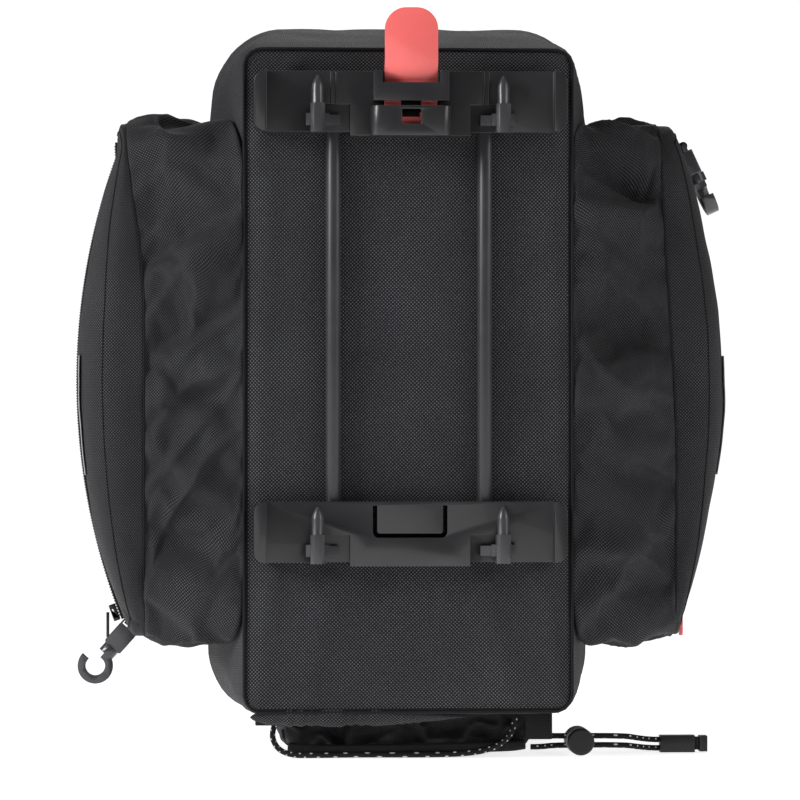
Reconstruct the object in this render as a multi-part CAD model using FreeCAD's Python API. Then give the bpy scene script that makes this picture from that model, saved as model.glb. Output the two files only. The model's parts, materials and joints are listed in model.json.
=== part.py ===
"""Rack-top bicycle bag with two fold-out side bags and a click-on rack adapter, standing on its rear end.

Millimetres. The origin is on the floor under the middle of the bag, +Z runs up to the bag's front end,
+Y points at the lid and -Y at the base, where the adapter is. +X is to the right, seen from the base.
"""
import FreeCAD, Part

import math
import os

from FreeCAD import Vector

os.makedirs("parts", exist_ok=True)

# ---- the bag's body ----
BASE_Y = -105.0           # outer face of the base
RIM_Y = 72.0              # where the walls end and the zip begins
LID_Y = 105.0             # outer face of the lid
BASE_HALF = 85.0          # half width of the base
BELLY_HALF = 103.0        # half width where the side walls bulge most
RIM_HALF = 95.0           # half width at the zip
BASE_Z = (25.0, 368.0)    # rear and front edge of the base
BELLY_Z = (18.0, 384.5)   # the same where the end walls bulge most
RIM_Z = (22.0, 378.0)     # the same at the zip
BELLY_Y = -25.0           # depth at which the walls bulge most
BELLY_CORNER = 36.0       # radius of the body's four long edges
RIM_CORNER = 30.0         # the same at the zip
WALL = 4.0                # foam-backed fabric
BASE_SKIN = 3.0
BOARD = 3.0               # stiffening board inside the base
ZIP_BAND = 6.0            # width of each half of the zip
PARTING = 0.4             # clearance between the body and the lid
LID_FILLET = 12.0

# ---- side bags ----
BAG_RIM_X = 139.0         # plane where the padded outer panel begins
BAG_OUT = 171.5           # outermost point of a side bag
BAG_END_X = 145.0         # the same at the bag's two ends
BAG_FRONT_Y = -84.0       # rim edge nearest the base
BAG_BACK_Y = 62.0         # rim edge nearest the lid
BAG_CROWN_X = 178.0       # crown of the arc across the panel, cut off by the outer face
BAG_Z = (62.5, 331.5)
BAG_SKIN = 3.0
GUSSET_SKIN = 2.0
GUSSET_GAP = 0.3
BAG_ZIP_Y = 8.0           # depth of the side bag's zip on its outer face
BAG_SLIDER_ANGLE = -20.5  # where the closed slider stands on the arc, in degrees from the middle

# ---- zip sliders and pulls ----
SLIDER_THICK = 3.6
SLIDER_GAP = 1.5          # clearance between a side bag's outer face and its slider
PULL_GAP = 2.1            # from a slider's outer face to its pull's pivot
MAIN_SLIDER_X = 6.2
ZIP_MIDDLE_Y = RIM_Y + ZIP_BAND + PARTING / 2

# ---- strap hooks of the side bags ----
STRAP_BAR_R = 1.2
STRAP_PLAY = 0.08
STRAP_LOOP_HALF = 4.1
LEFT_STRAP = (-142.5, 68.5, 62.0)     # the left hook's cross bar, behind the bag's rear corner
LEFT_TURN = (0.0, 42.0)               # its spin and its lean outwards, in degrees
RIGHT_STRAP = (159.5, 30.0, 326.0)    # the right hook's cross bar, near the bag's front end
RIGHT_TURN = (90.0, -25.0)
HOOK_HALF = 5.6           # half width of a hook's block
HOOK_THICK = 3.2          # half thickness of the block
HOOK_BLOCK = (3.2, 17.0)  # where the block begins and ends, from the cross bar
HOOK_COLLAR_R = 4.6
HOOK_COLLAR = 5.0
HOOK_OUTER = 9.8          # outer and inner radius of the curl
HOOK_INNER = 5.4
HOOK_BAND = 3.2           # half width of the curl's band

# ---- rings for a shoulder strap ----
RING_FRONT = (0.0, 40.0, 384.9)
RING_REAR = (0.0, 58.0, 17.6)
RING_WIRE = 1.25
RING_HALF = 12.0
RING_REACH = 14.0

# ---- rack adapter ----
PLATE_FRONT_Y = BASE_Y - 14.0
LIP_FRONT_Y = PLATE_FRONT_Y - 8.0
PLATE_HALF = 80.5
LIP_WIDTH = 6.5
PLATE_CORNER = 6.0
FRONT_PLATE_Z = (324.4, 355.7)
REAR_PLATE_Z = (102.9, 134.2)
TAB_DROP = 2.0            # the middle of each plate hangs this far below its ends
NOTCH_X = (31.0, 44.5)
NOTCH_RISE = 14.2         # height of a notch above the plate's lower edge
NOTCH_DEPTH = 4.0
ROD_X = 39.2
ROD_R = 4.0
ROD_Y = BASE_Y - 5.2
ROD_Z = (112.0, 345.0)
PEG_X = 47.8
PEG_Y = PLATE_FRONT_Y - 4.2
PEG_R = 3.1
PEG_SHANK = 8.0
PEG_TIP = 6.4
SCREW_X = (26.0, 62.0)
SCREW_RISE = 23.5         # height of the screws above a plate's lower edge
SCREW_R = 2.0

# ---- release lever ----
PIVOT_Y = -123.2
PIVOT_Z = 344.6
PIN_R = 1.5
LEVER_HALF = 13.6
LEVER_TOP = 387.5
YOKE_HALF = 19.3
YOKE_ARM = 4.4
YOKE_FRONT_Y = -131.0
HOUSING_HALF = 20.5
HOUSING_Z = (321.9, 337.4)
CAVITY_HALF = 14.6         # half width of the space for the lever's tongue
RECESS = 3.4              # depth of that space in the front plate

# ---- rear pocket, cords and small fittings ----
POCKET_X = (-64.0, 66.0)
POCKET_Y = (-87.8, 35.0)
POCKET_SKIN = 2.5
CORD_R = 1.5
LOCK_X = 92.0
LOCK_Z = 7.3
LOCK_R = 7.1
LOCK_Y = (-77.0, -60.0)
STRAND_Y = -70.5
STRAND_OFFSET = 2.4
LOCK_TRAVEL = 3.0
END_HOOK_X = 136.0
END_HOOK_Y = -60.0


# ---- helpers ----
def save(shape, node):
    """Write one node's STEP file."""
    shape = shape.removeSplitter() if len(shape.Solids) == 1 else shape
    if not shape.isValid() or not shape.Solids:
        raise ValueError(f"{node} is not a valid solid")
    shape.exportStep(f"parts/{node}.step")
    print(f"{node}: {len(shape.Solids)} solid(s), {shape.Volume / 1000:.2f} cm3")


def box(x, y, z):
    """A box between three pairs of limits."""
    return Part.makeBox(x[1] - x[0], y[1] - y[0], z[1] - z[0], Vector(x[0], y[0], z[0]))


def rod(start, end, radius):
    """A round bar from one point to another."""
    start = Vector(*start)
    along = Vector(*end) - start
    return Part.makeCylinder(radius, along.Length, start, along)


def mirrored(shape):
    """The same shape on the other side of the bag."""
    return shape.mirror(Vector(0, 0, 0), Vector(1, 0, 0))


def arc(a, b, c):
    """The edge of an arc through three points."""
    return Part.Arc(Vector(*a), Vector(*b), Vector(*c)).toShape()


def line(a, b):
    """A straight edge."""
    return Part.makeLine(Vector(*a), Vector(*b))


def prism(edges, along):
    """A solid made by pushing a closed outline along a vector."""
    return Part.Face(Part.Wire(edges)).extrude(Vector(*along))


def polygon(points, along):
    """A solid made by pushing a polygon along a vector."""
    corners = [Vector(*point) for point in points]
    return Part.Face(Part.makePolygon(corners + corners[:1])).extrude(Vector(*along))


def rounded_prism(half, z, radius, y):
    """A block with rounded corners seen along Y, centred on X."""
    block = box((-half, half), y, z)
    corners = [edge for edge in block.Edges if abs(edge.tangentAt(0).y) > 0.9]
    return block.makeFillet(radius, corners)


def group(shapes):
    """Several separate solids as one node."""
    return Part.makeCompound(shapes)


# ---- the body ----
def envelope(inset):
    """The outside of the body, or its inside when inset by the wall."""
    side = prism([
        line((-BASE_HALF + inset, BASE_Y, 0), (BASE_HALF - inset, BASE_Y, 0)),
        arc((BASE_HALF - inset, BASE_Y, 0), (BELLY_HALF - inset, BELLY_Y, 0), (RIM_HALF - inset, RIM_Y, 0)),
        line((RIM_HALF - inset, RIM_Y, 0), (-RIM_HALF + inset, RIM_Y, 0)),
        arc((-RIM_HALF + inset, RIM_Y, 0), (-BELLY_HALF + inset, BELLY_Y, 0), (-BASE_HALF + inset, BASE_Y, 0)),
    ], (0, 0, 400))
    low = [z + inset for z in (BASE_Z[0], BELLY_Z[0], RIM_Z[0])]
    high = [z - inset for z in (BASE_Z[1], BELLY_Z[1], RIM_Z[1])]
    reach = BELLY_HALF + 20
    end = prism([
        line((-reach, BASE_Y, low[0]), (-reach, BASE_Y, high[0])),
        arc((-reach, BASE_Y, high[0]), (-reach, BELLY_Y, high[1]), (-reach, RIM_Y, high[2])),
        line((-reach, RIM_Y, high[2]), (-reach, RIM_Y, low[2])),
        arc((-reach, RIM_Y, low[2]), (-reach, BELLY_Y, low[1]), (-reach, BASE_Y, low[0])),
    ], (2 * reach, 0, 0))
    corners = rounded_prism(BELLY_HALF - inset, (BELLY_Z[0] + inset, BELLY_Z[1] - inset),
                            BELLY_CORNER - inset, (BASE_Y - 1, RIM_Y + 1))
    return side.common(end).common(corners)


def end_wedges():
    """The two wedges that cut the wall ring into its four panels, along mitres at the corners."""
    reach = 40.0
    wedges = []
    for z, way in ((BELLY_Z[1], 1), (BELLY_Z[0], -1)):
        wide = BELLY_HALF + reach
        wedges.append(polygon([
            (-wide, BASE_Y - 1, z + way * reach),
            (wide, BASE_Y - 1, z + way * reach),
            (0, BASE_Y - 1, z - way * BELLY_HALF),
        ], (0, RIM_Y - BASE_Y + 2, 0)))
    return wedges


def zip_half(y):
    """One half of the main zip: a band around the rim."""
    outside = rounded_prism(RIM_HALF, RIM_Z, RIM_CORNER, y)
    inside = rounded_prism(RIM_HALF - 3, (RIM_Z[0] + 3, RIM_Z[1] - 3), RIM_CORNER - 3, (y[0] - 1, y[1] + 1))
    return outside.cut(inside)


def screw_places():
    """Where the adapter's screws go, as x and z."""
    rows = [plate[0] + SCREW_RISE for plate in (FRONT_PLATE_Z, REAR_PLATE_Z)]
    return [(way * x, z) for z in rows for x in SCREW_X for way in (-1, 1)]


def base_parts(body):
    """The base panel and its stiffening board, both drilled for the adapter's screws."""
    panel = body.common(box((-120, 120), (BASE_Y, BASE_Y + BASE_SKIN), (0, 400)))
    edge = WALL + 2.0
    board = rounded_prism(BASE_HALF - edge, (BASE_Z[0] + edge, BASE_Z[1] - edge), 14.0,
                          (BASE_Y + BASE_SKIN, BASE_Y + BASE_SKIN + BOARD))
    for x, z in screw_places():
        hole = rod((x, BASE_Y - 1, z), (x, BASE_Y + BASE_SKIN + BOARD + 1, z), SCREW_R + 0.2)
        panel = panel.cut(hole)
        board = board.cut(hole)
    save(panel, "base_panel")
    save(board, "base_board")


def body_parts(body):
    """The four walls, each a curved panel of foam-backed fabric, and the body's half of the zip."""
    inside = envelope(WALL)
    ring = body.cut(inside).common(box((-120, 120), (BASE_Y + BASE_SKIN, RIM_Y), (0, 400)))
    front, rear = end_wedges()
    save(ring.common(front), "front_wall")
    save(ring.common(rear), "rear_wall")
    sides = ring.cut(front).cut(rear)
    save(sides.common(box((-120, 0), (BASE_Y, RIM_Y), (0, 400))), "left_wall")
    save(sides.common(box((0, 120), (BASE_Y, RIM_Y), (0, 400))), "right_wall")
    save(zip_half((RIM_Y, RIM_Y + ZIP_BAND)), "body_zip_tape")


# ---- the lid ----
def lid_parts():
    """The padded lid, its half of the zip, its foam board and its carrying handle."""
    low = RIM_Y + ZIP_BAND + PARTING
    high = low + ZIP_BAND
    shell = rounded_prism(RIM_HALF, RIM_Z, RIM_CORNER, (high, LID_Y))
    edges = [edge for edge in shell.Edges if all(v.Y > LID_Y - 0.1 for v in edge.Vertexes)]
    shell = shell.makeFillet(LID_FILLET, edges)
    inside = rounded_prism(RIM_HALF - WALL, (RIM_Z[0] + WALL, RIM_Z[1] - WALL), RIM_CORNER - WALL,
                           (high - 1, LID_Y - WALL))
    save(shell.cut(inside), "lid_shell")
    save(zip_half((low, high)), "lid_zip_tape")
    margin = 16.0
    foam = rounded_prism(RIM_HALF - margin, (RIM_Z[0] + margin, RIM_Z[1] - margin), 18.0,
                         (LID_Y - WALL - 3, LID_Y - WALL))
    save(foam, "lid_foam_board")
    middle, half, rise, thick, wide = 200.0, 66.0, 26.0, 3.0, 12.5
    patch = 2.0
    foot = LID_Y + patch
    handle = prism([
        arc((-wide, foot, middle - half), (-wide, foot + rise, middle), (-wide, foot, middle + half)),
        line((-wide, foot, middle + half), (-wide, foot, middle + half - 7)),
        arc((-wide, foot, middle + half - 7), (-wide, foot + rise - thick, middle),
            (-wide, foot, middle - half + 7)),
        line((-wide, foot, middle - half + 7), (-wide, foot, middle - half)),
    ], (2 * wide, 0, 0))
    save(handle, "carry_handle")
    patches = [box((-16, 16), (LID_Y, foot), (middle + way * (half - 4) - 15, middle + way * (half - 4) + 15))
               for way in (-1, 1)]
    save(group(patches), "handle_patches")


# ---- the side bags ----
def bag_cylinders(inset):
    """The two cylinders that shape a side bag's outer panel: one across it, one along it."""
    middle_y = (BAG_FRONT_Y + BAG_BACK_Y) / 2
    half_y = (BAG_BACK_Y - BAG_FRONT_Y) / 2
    rise = BAG_CROWN_X - BAG_RIM_X
    across_r = (half_y ** 2 + rise ** 2) / (2 * rise)
    across = Part.makeCylinder(across_r - inset, 400, Vector(BAG_CROWN_X - across_r, middle_y, 0))
    middle_z, along_r = bag_arc()
    along = Part.makeCylinder(along_r - inset, 400, Vector(BAG_OUT - along_r, -200, middle_z), Vector(0, 1, 0))
    return across.common(along)


def bag_arc():
    """Height of the middle of a side bag's outer face, and the radius it is curved to."""
    half = (BAG_Z[1] - BAG_Z[0]) / 2
    rise = BAG_OUT - BAG_END_X
    return (BAG_Z[0] + BAG_Z[1]) / 2, (half ** 2 + rise ** 2) / (2 * rise)


def bag_panel():
    """The right side bag's padded outer panel: a shell that is open towards the body."""
    outside = bag_cylinders(0).common(box((BAG_RIM_X, 200), (-150, 150), BAG_Z))
    inside = bag_cylinders(BAG_SKIN).common(box((BAG_RIM_X - 1, 200), (-150, 150),
                                                (BAG_Z[0] + BAG_SKIN, BAG_Z[1] - BAG_SKIN)))
    return outside.cut(inside)


def frustum(inner, outer, inner_x, outer_x):
    """A four-sided block between two upright rectangles, each given as y and z limits."""
    wires = []
    for (y, z), x in ((inner, inner_x), (outer, outer_x)):
        corners = [Vector(x, y[0], z[0]), Vector(x, y[1], z[0]), Vector(x, y[1], z[1]), Vector(x, y[0], z[1])]
        wires.append(Part.makePolygon(corners + corners[:1]))
    return Part.makeLoft(wires, True, True)


def shrunk(rectangle, by):
    """A rectangle of y and z limits, inset all round."""
    return tuple((limits[0] + by, limits[1] - by) for limits in rectangle)


def bag_gusset(body):
    """The soft wall between the body and the right side bag's panel."""
    outer_x = BAG_RIM_X - GUSSET_GAP
    inner_x = BASE_HALF - 1
    inner = ((BASE_Y + 0.6, 50.0), (BAG_Z[0] - 5, BAG_Z[1] + 5))
    outer = ((BAG_FRONT_Y, BAG_BACK_Y), BAG_Z)
    outside = frustum(inner, outer, inner_x, outer_x)
    over = 2.0
    slope = [(o[0] - i[0], o[1] - i[1]) for i, o in zip(inner, outer)]
    run = outer_x - inner_x
    beyond = tuple((o[0] + s[0] * over / run, o[1] + s[1] * over / run) for o, s in zip(outer, slope))
    before = tuple((i[0] - s[0] * over / run, i[1] - s[1] * over / run) for i, s in zip(inner, slope))
    inside = frustum(shrunk(before, GUSSET_SKIN), shrunk(beyond, GUSSET_SKIN), inner_x - over, outer_x + over)
    return outside.cut(inside).cut(body)


def bag_zip():
    """The right side bag's zip: a band along the outer face, from end to end."""
    middle_z, radius = bag_arc()
    low, high = BAG_Z[0] + 4, BAG_Z[1] - 4
    centre = (BAG_OUT - radius, middle_z)
    proud = 1.2
    bar = Part.makeCylinder(radius + proud, ZIP_BAND, Vector(centre[0], BAG_ZIP_Y - ZIP_BAND / 2, centre[1]),
                            Vector(0, 1, 0))
    bore = Part.makeCylinder(radius, ZIP_BAND, Vector(centre[0], BAG_ZIP_Y - ZIP_BAND / 2, centre[1]),
                             Vector(0, 1, 0))
    return bar.cut(bore).common(box((BAG_RIM_X, 200), (-150, 150), (low, high)))


def on_bag_arc(shape):
    """Turn a piece built at the middle of the outer face down to the closed end of the zip."""
    middle_z, radius = bag_arc()
    turned = shape.copy()
    turned.rotate(Vector(BAG_OUT - radius, 0, middle_z), Vector(0, 1, 0), -BAG_SLIDER_ANGLE)
    return turned


def slider_block(long):
    """A zip slider's body in its own frame: it lies on the plane x=0 and runs along z."""
    block = box((0, SLIDER_THICK), (-4.2, 4.2), (-long / 2, long / 2))
    slot = box((1.9, 2.9), (-5, 5), (-2.2, 2.2))
    return block.makeFillet(1.2, [e for e in block.Edges if abs(e.tangentAt(0).x) > 0.9]).cut(slot)


def pull_tab(long, half=3.2, thick=1.6):
    """A pull tab that hangs from a cross bar: its ring and its grip."""
    tab = box((-thick / 2, thick / 2), (-half, half), (-long, 1.4))
    tab = tab.makeFillet(1.4, [e for e in tab.Edges if abs(e.tangentAt(0).x) > 0.9])
    return tab.cut(box((-3, 3), (-1.8, 1.8), (-2.6, 0.6)))


def side_bag_parts(body):
    """Both side bags: outer panel, gusset, zip, slider and pull."""
    middle_z = bag_arc()[0]
    slider = slider_block(9.0)
    slider.translate(Vector(BAG_OUT + SLIDER_GAP, BAG_ZIP_Y, middle_z))
    slider = on_bag_arc(slider)
    pivot = bag_pull_pivot()
    pull = pull_tab(12.0)
    pull.translate(pivot)
    right = {
        "bag_panel": bag_panel(),
        "bag_gusset": bag_gusset(body),
        "bag_zip": bag_zip(),
        "bag_slider": slider,
        "bag_pull": pull,
    }
    for name, shape in right.items():
        save(shape, f"right_{name}")
        save(mirrored(shape), f"left_{name}")


def bag_pull_pivot():
    """The pull's pivot, just outside the slider, once it is turned down the arc."""
    middle_z, radius = bag_arc()
    reach = radius + SLIDER_GAP + SLIDER_THICK + PULL_GAP
    angle = math.radians(BAG_SLIDER_ANGLE)
    return Vector(BAG_OUT - radius + reach * math.cos(angle), BAG_ZIP_Y, middle_z + reach * math.sin(angle))


# ---- straps and hooks of the side bags ----
def strap_hook():
    """A flat plastic strap hook in its own frame: its cross bar is on the x axis and it hangs along -z."""
    top, end = HOOK_BLOCK
    block = box((-HOOK_HALF, HOOK_HALF), (-HOOK_THICK, HOOK_THICK), (-end, -top))
    block = block.makeFillet(1.2, [e for e in block.Edges if abs(e.tangentAt(0).y) > 0.9])
    bar = rod((-HOOK_HALF, 0, 0), (HOOK_HALF, 0, 0), STRAP_BAR_R)
    cheek = (-STRAP_BAR_R, STRAP_BAR_R), (-top - 0.5, 0)
    cheeks = [box(sorted((way * HOOK_HALF, way * (HOOK_HALF - 1.0))), *cheek) for way in (-1, 1)]
    collar = rod((0, 0, -end), (0, 0, -end - HOOK_COLLAR), HOOK_COLLAR_R)
    centre = -end - HOOK_COLLAR - HOOK_OUTER + 1.2
    bend = rod((0, -HOOK_BAND, centre), (0, HOOK_BAND, centre), HOOK_OUTER)
    bend = bend.cut(rod((0, -HOOK_BAND, centre), (0, HOOK_BAND, centre), HOOK_INNER))
    outside = HOOK_OUTER + 1
    mouth = box((-outside, -1.0), (-HOOK_BAND - 1, HOOK_BAND + 1), (centre + 0.5, centre + outside))
    return block.fuse([bar, collar, bend.cut(mouth)] + cheeks).removeSplitter()


def strap_loop():
    """The webbing loop around a hook's cross bar, in the hook's frame."""
    return rod((-STRAP_LOOP_HALF, 0, 0), (STRAP_LOOP_HALF, 0, 0), STRAP_BAR_R + STRAP_PLAY + 1.0)


def placed(shape, place, spin, lean):
    """A copy turned about Z by spin, then about Y by lean, in degrees, and moved to a place."""
    copy = shape.copy()
    copy.rotate(Vector(0, 0, 0), Vector(0, 0, 1), spin)
    copy.rotate(Vector(0, 0, 0), Vector(0, 1, 0), lean)
    copy.translate(Vector(*place))
    return copy


def strap_parts():
    """The strap loop and hook of each side bag: the loop's tail is sewn to the outer panel."""
    solid = bag_cylinders(0).common(box((BAG_RIM_X - 20, 200), (-150, 150), BAG_Z))
    x, y, z = LEFT_STRAP
    half = STRAP_LOOP_HALF
    left_tail = box((x - half + 0.3, -BAG_RIM_X - GUSSET_GAP), (y - 12, y + 1), (z + 1, z + 7.0))
    right_tail = box((BAG_RIM_X, RIGHT_STRAP[0]), (RIGHT_STRAP[1] - half, RIGHT_STRAP[1] + half),
                     (RIGHT_STRAP[2] - 1, RIGHT_STRAP[2] + 1))
    for side, place, turn, tail, filled in (("left", LEFT_STRAP, LEFT_TURN, left_tail, mirrored(solid)),
                                            ("right", RIGHT_STRAP, RIGHT_TURN, right_tail, solid)):
        save(placed(strap_hook(), place, *turn), f"{side}_strap_hook")
        hole = rod((-half - 3, 0, 0), (half + 3, 0, 0), STRAP_BAR_R + STRAP_PLAY)
        loop = placed(strap_loop(), place, *turn).fuse(tail)
        save(loop.cut(placed(hole, place, *turn)).cut(filled), f"{side}_strap_loop")


# ---- the rack adapter ----
def plate(z):
    """One adapter plate, without its own details: end lips, notches, rod sockets and screw holes."""
    slab = rounded_prism(PLATE_HALF, z, PLATE_CORNER, (LIP_FRONT_Y, BASE_Y))
    slab = slab.cut(box((-PLATE_HALF + LIP_WIDTH, PLATE_HALF - LIP_WIDTH), (LIP_FRONT_Y - 1, PLATE_FRONT_Y),
                        (z[0] - 1, z[1] + 1)))
    tab = box((-NOTCH_X[0], NOTCH_X[0]), (PLATE_FRONT_Y, BASE_Y), (z[0] - TAB_DROP, z[0] + 5))
    slab = slab.fuse(tab).removeSplitter()
    for way in (-1, 1):
        x = sorted((way * NOTCH_X[0], way * NOTCH_X[1]))
        notch = box(x, (PLATE_FRONT_Y - 1, PLATE_FRONT_Y + NOTCH_DEPTH), (z[0] - 3, z[0] + NOTCH_RISE))
        slab = slab.cut(notch)
        slab = slab.cut(rod((way * ROD_X, ROD_Y, ROD_Z[0]), (way * ROD_X, ROD_Y, ROD_Z[1]), ROD_R))
    for x, height in screw_places():
        if z[0] < height < z[1]:
            slab = slab.cut(rod((x, BASE_Y + 1, height), (x, BASE_Y - 8, height), SCREW_R))
    return slab


def front_plate():
    """The front plate: it carries the latch and has a rib pair above each rod."""
    z = FRONT_PLATE_Z
    slab = plate(z)
    recess = box((-CAVITY_HALF, CAVITY_HALF), (PLATE_FRONT_Y - 1, PLATE_FRONT_Y + RECESS),
                 (HOUSING_Z[0] + 2, z[1] + 1))
    slab = slab.cut(recess)
    for way in (-1, 1):
        for offset in (-1.3, 1.3):
            x = way * ROD_X + offset
            rib = box((x - 0.5, x + 0.5), (PLATE_FRONT_Y - 0.6, PLATE_FRONT_Y), (z[0] + NOTCH_RISE, z[1] - 0.6))
            slab = slab.fuse(rib)
    return slab.removeSplitter()


def rear_plate():
    """The rear plate: a U-shaped slot frees a springy tongue in its middle."""
    z = REAR_PLATE_Z
    slab = plate(z)
    half, top, bottom, wide = 19.2, z[1] - 2.0, z[1] - 18.6, 2.2
    outer = box((-half, half), (PLATE_FRONT_Y - 1, BASE_Y + 1), (bottom, top))
    corners = [e for e in outer.Edges if abs(e.tangentAt(0).y) > 0.9 and e.BoundBox.ZMax < bottom + 0.1]
    outer = outer.makeFillet(3.0, corners)
    inner = box((-half + wide, half - wide), (PLATE_FRONT_Y - 2, BASE_Y + 2), (bottom + wide, top + 4))
    corners = [e for e in inner.Edges if abs(e.tangentAt(0).y) > 0.9 and e.BoundBox.ZMax < bottom + wide + 0.1]
    inner = inner.makeFillet(1.6, corners)
    return slab.cut(outer.cut(inner))


def peg(x, z0):
    """A rack peg: foot, clip wings, an arm into the notch and a pin with a pointed tip."""
    inward = -1 if x > 0 else 1
    shoulder = z0 + NOTCH_RISE + 0.3
    half = 3.7
    foot = box((x - half, x + half), (PEG_Y - 3.9, PLATE_FRONT_Y), (z0 - 0.5, shoulder))
    foot = foot.makeChamfer(1.6, [e for e in foot.Edges if abs(e.tangentAt(0).z) > 0.9
                                  and e.BoundBox.YMax < PEG_Y - 3])
    wings = box((x - 6.0, x + 6.0), (PEG_Y - 0.6, PLATE_FRONT_Y), (z0 + 3.1, z0 + 9.3))
    reach = sorted((x + inward * 5.0, x + inward * 11.6))
    arm = box(reach, (PLATE_FRONT_Y - 1.4, PLATE_FRONT_Y), (z0 + 4.0, z0 + 8.6))
    edge = NOTCH_X[1] - 0.2
    inside = sorted((-inward * edge, -inward * (edge - 8.0)))
    clip = box(inside, (PLATE_FRONT_Y - 1.4, PLATE_FRONT_Y + NOTCH_DEPTH - 0.3), (z0 + 3.4, z0 + 8.2))
    profile = Part.Wire([
        line((x, PEG_Y, shoulder), (x + PEG_R, PEG_Y, shoulder)),
        line((x + PEG_R, PEG_Y, shoulder), (x + PEG_R, PEG_Y, shoulder + PEG_SHANK)),
        arc((x + PEG_R, PEG_Y, shoulder + PEG_SHANK), (x + PEG_R * 0.72, PEG_Y, shoulder + PEG_SHANK + PEG_TIP / 2),
            (x + 0.5, PEG_Y, shoulder + PEG_SHANK + PEG_TIP)),
        line((x + 0.5, PEG_Y, shoulder + PEG_SHANK + PEG_TIP), (x, PEG_Y, shoulder + PEG_SHANK + PEG_TIP)),
        line((x, PEG_Y, shoulder + PEG_SHANK + PEG_TIP), (x, PEG_Y, shoulder)),
    ])
    pin = Part.Face(profile).revolve(Vector(x, PEG_Y, shoulder), Vector(0, 0, 1), 360)
    return foot.fuse([wings, arm, clip, pin]).removeSplitter()


def adapter_parts():
    """Plates, rods, pegs and the screws that clamp them to the base board from inside."""
    save(front_plate(), "front_plate")
    save(rear_plate(), "rear_plate")
    for way, side in ((-1, "left"), (1, "right")):
        save(rod((way * ROD_X, ROD_Y, ROD_Z[0]), (way * ROD_X, ROD_Y, ROD_Z[1]), ROD_R), f"rod_{side}")
        save(peg(way * PEG_X, FRONT_PLATE_Z[0]), f"peg_front_{side}")
        save(peg(way * PEG_X, REAR_PLATE_Z[0]), f"peg_rear_{side}")
    inner_y = BASE_Y + BASE_SKIN + BOARD
    washers = []
    screws = []
    for x, z in screw_places():
        ring = rod((x, inner_y, z), (x, inner_y + 1.0, z), 5.0)
        washers.append(ring.cut(rod((x, inner_y - 1, z), (x, inner_y + 2, z), SCREW_R + 0.2)))
        shank = rod((x, BASE_Y - 8, z), (x, inner_y + 1.0, z), SCREW_R)
        head = rod((x, inner_y + 1.0, z), (x, inner_y + 3.6, z), 3.8)
        socket = rod((x, inner_y + 2.2, z), (x, inner_y + 4, z), 1.7)
        screws.append(shank.fuse(head).cut(socket).removeSplitter())
    save(group(washers), "plate_washers")
    save(group(screws), "plate_screws")


# ---- the latch ----
def latch_yoke():
    """The yoke that carries the lever's pin: two arms and a bar across the front."""
    back = PLATE_FRONT_Y
    arms_z = (PIVOT_Z - 4.7, PIVOT_Z + 10.6)
    yoke = box((-YOKE_HALF, YOKE_HALF), (YOKE_FRONT_Y, YOKE_FRONT_Y + 3.5), (arms_z[0], arms_z[0] + 9.3))
    for way in (-1, 1):
        x = sorted((way * YOKE_HALF, way * (YOKE_HALF - YOKE_ARM)))
        yoke = yoke.fuse(box(x, (YOKE_FRONT_Y, back), arms_z))
    yoke = yoke.removeSplitter()
    return yoke.cut(rod((-YOKE_HALF - 1, PIVOT_Y, PIVOT_Z), (YOKE_HALF + 1, PIVOT_Y, PIVOT_Z), PIN_R))


def latch_housing():
    """The housing below the yoke: open at the top for the lever's tongue, with a window in front."""
    block = box((-HOUSING_HALF, HOUSING_HALF), (YOKE_FRONT_Y - 0.5, PLATE_FRONT_Y), HOUSING_Z)
    block = block.makeFillet(5.0, [e for e in block.Edges if abs(e.tangentAt(0).z) > 0.9
                                   and e.BoundBox.YMax < YOKE_FRONT_Y])
    cavity = box((-CAVITY_HALF, CAVITY_HALF), (YOKE_FRONT_Y + 3.2, PLATE_FRONT_Y + 1),
                 (HOUSING_Z[0] + 2.2, HOUSING_Z[1] + 1))
    window = box((-5.0, 5.0), (YOKE_FRONT_Y - 2, YOKE_FRONT_Y + 4), (327.9, 335.6))
    window = window.makeFillet(0.9, [e for e in window.Edges if abs(e.tangentAt(0).y) > 0.9])
    return block.cut(cavity).cut(window)


def release_lever():
    """The lever: a finger tab, a hub around the pin and a tongue that reaches into the housing."""
    front, back = YOKE_FRONT_Y - 0.5, -127.5
    neck_front, neck_back = -125.4, -121.0
    left = -LEVER_HALF
    tab = polygon([
        (left, neck_front, PIVOT_Z), (left, neck_front, 351.6), (left, front, 359.3), (left, front, LEVER_TOP),
        (left, back, LEVER_TOP), (left, back, 362.0), (left, neck_back, 352.5), (left, neck_back, PIVOT_Z),
    ], (2 * LEVER_HALF, 0, 0))
    outline = box((-LEVER_HALF, LEVER_HALF), (front - 1, neck_back + 1), (PIVOT_Z - 5, LEVER_TOP))
    outline = outline.makeFillet(11.0, [e for e in outline.Edges if abs(e.tangentAt(0).y) > 0.9
                                        and e.BoundBox.ZMin > LEVER_TOP - 1])
    tab = tab.common(outline)
    hub = rod((-LEVER_HALF, PIVOT_Y, PIVOT_Z), (LEVER_HALF, PIVOT_Y, PIVOT_Z), 3.2)
    lever = tab.fuse(hub)
    for x in ((-LEVER_HALF, -5.2), (5.2, LEVER_HALF)):
        lever = lever.fuse(box(x, (neck_front - 0.6, neck_front + 2.2), (334.0, PIVOT_Z)))
    lever = lever.fuse(box((-LEVER_HALF, LEVER_HALF), (neck_front - 0.6, neck_front + 2.2), (327.0, 334.0)))
    lever = lever.cut(box((-4.6, 4.6), (neck_front - 1, neck_front + 3), (331.8, 334.5)))
    lever = lever.removeSplitter()
    bore = rod((-LEVER_HALF - 1, PIVOT_Y, PIVOT_Z), (LEVER_HALF + 1, PIVOT_Y, PIVOT_Z), PIN_R + 0.06)
    return lever.cut(bore)


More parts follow.
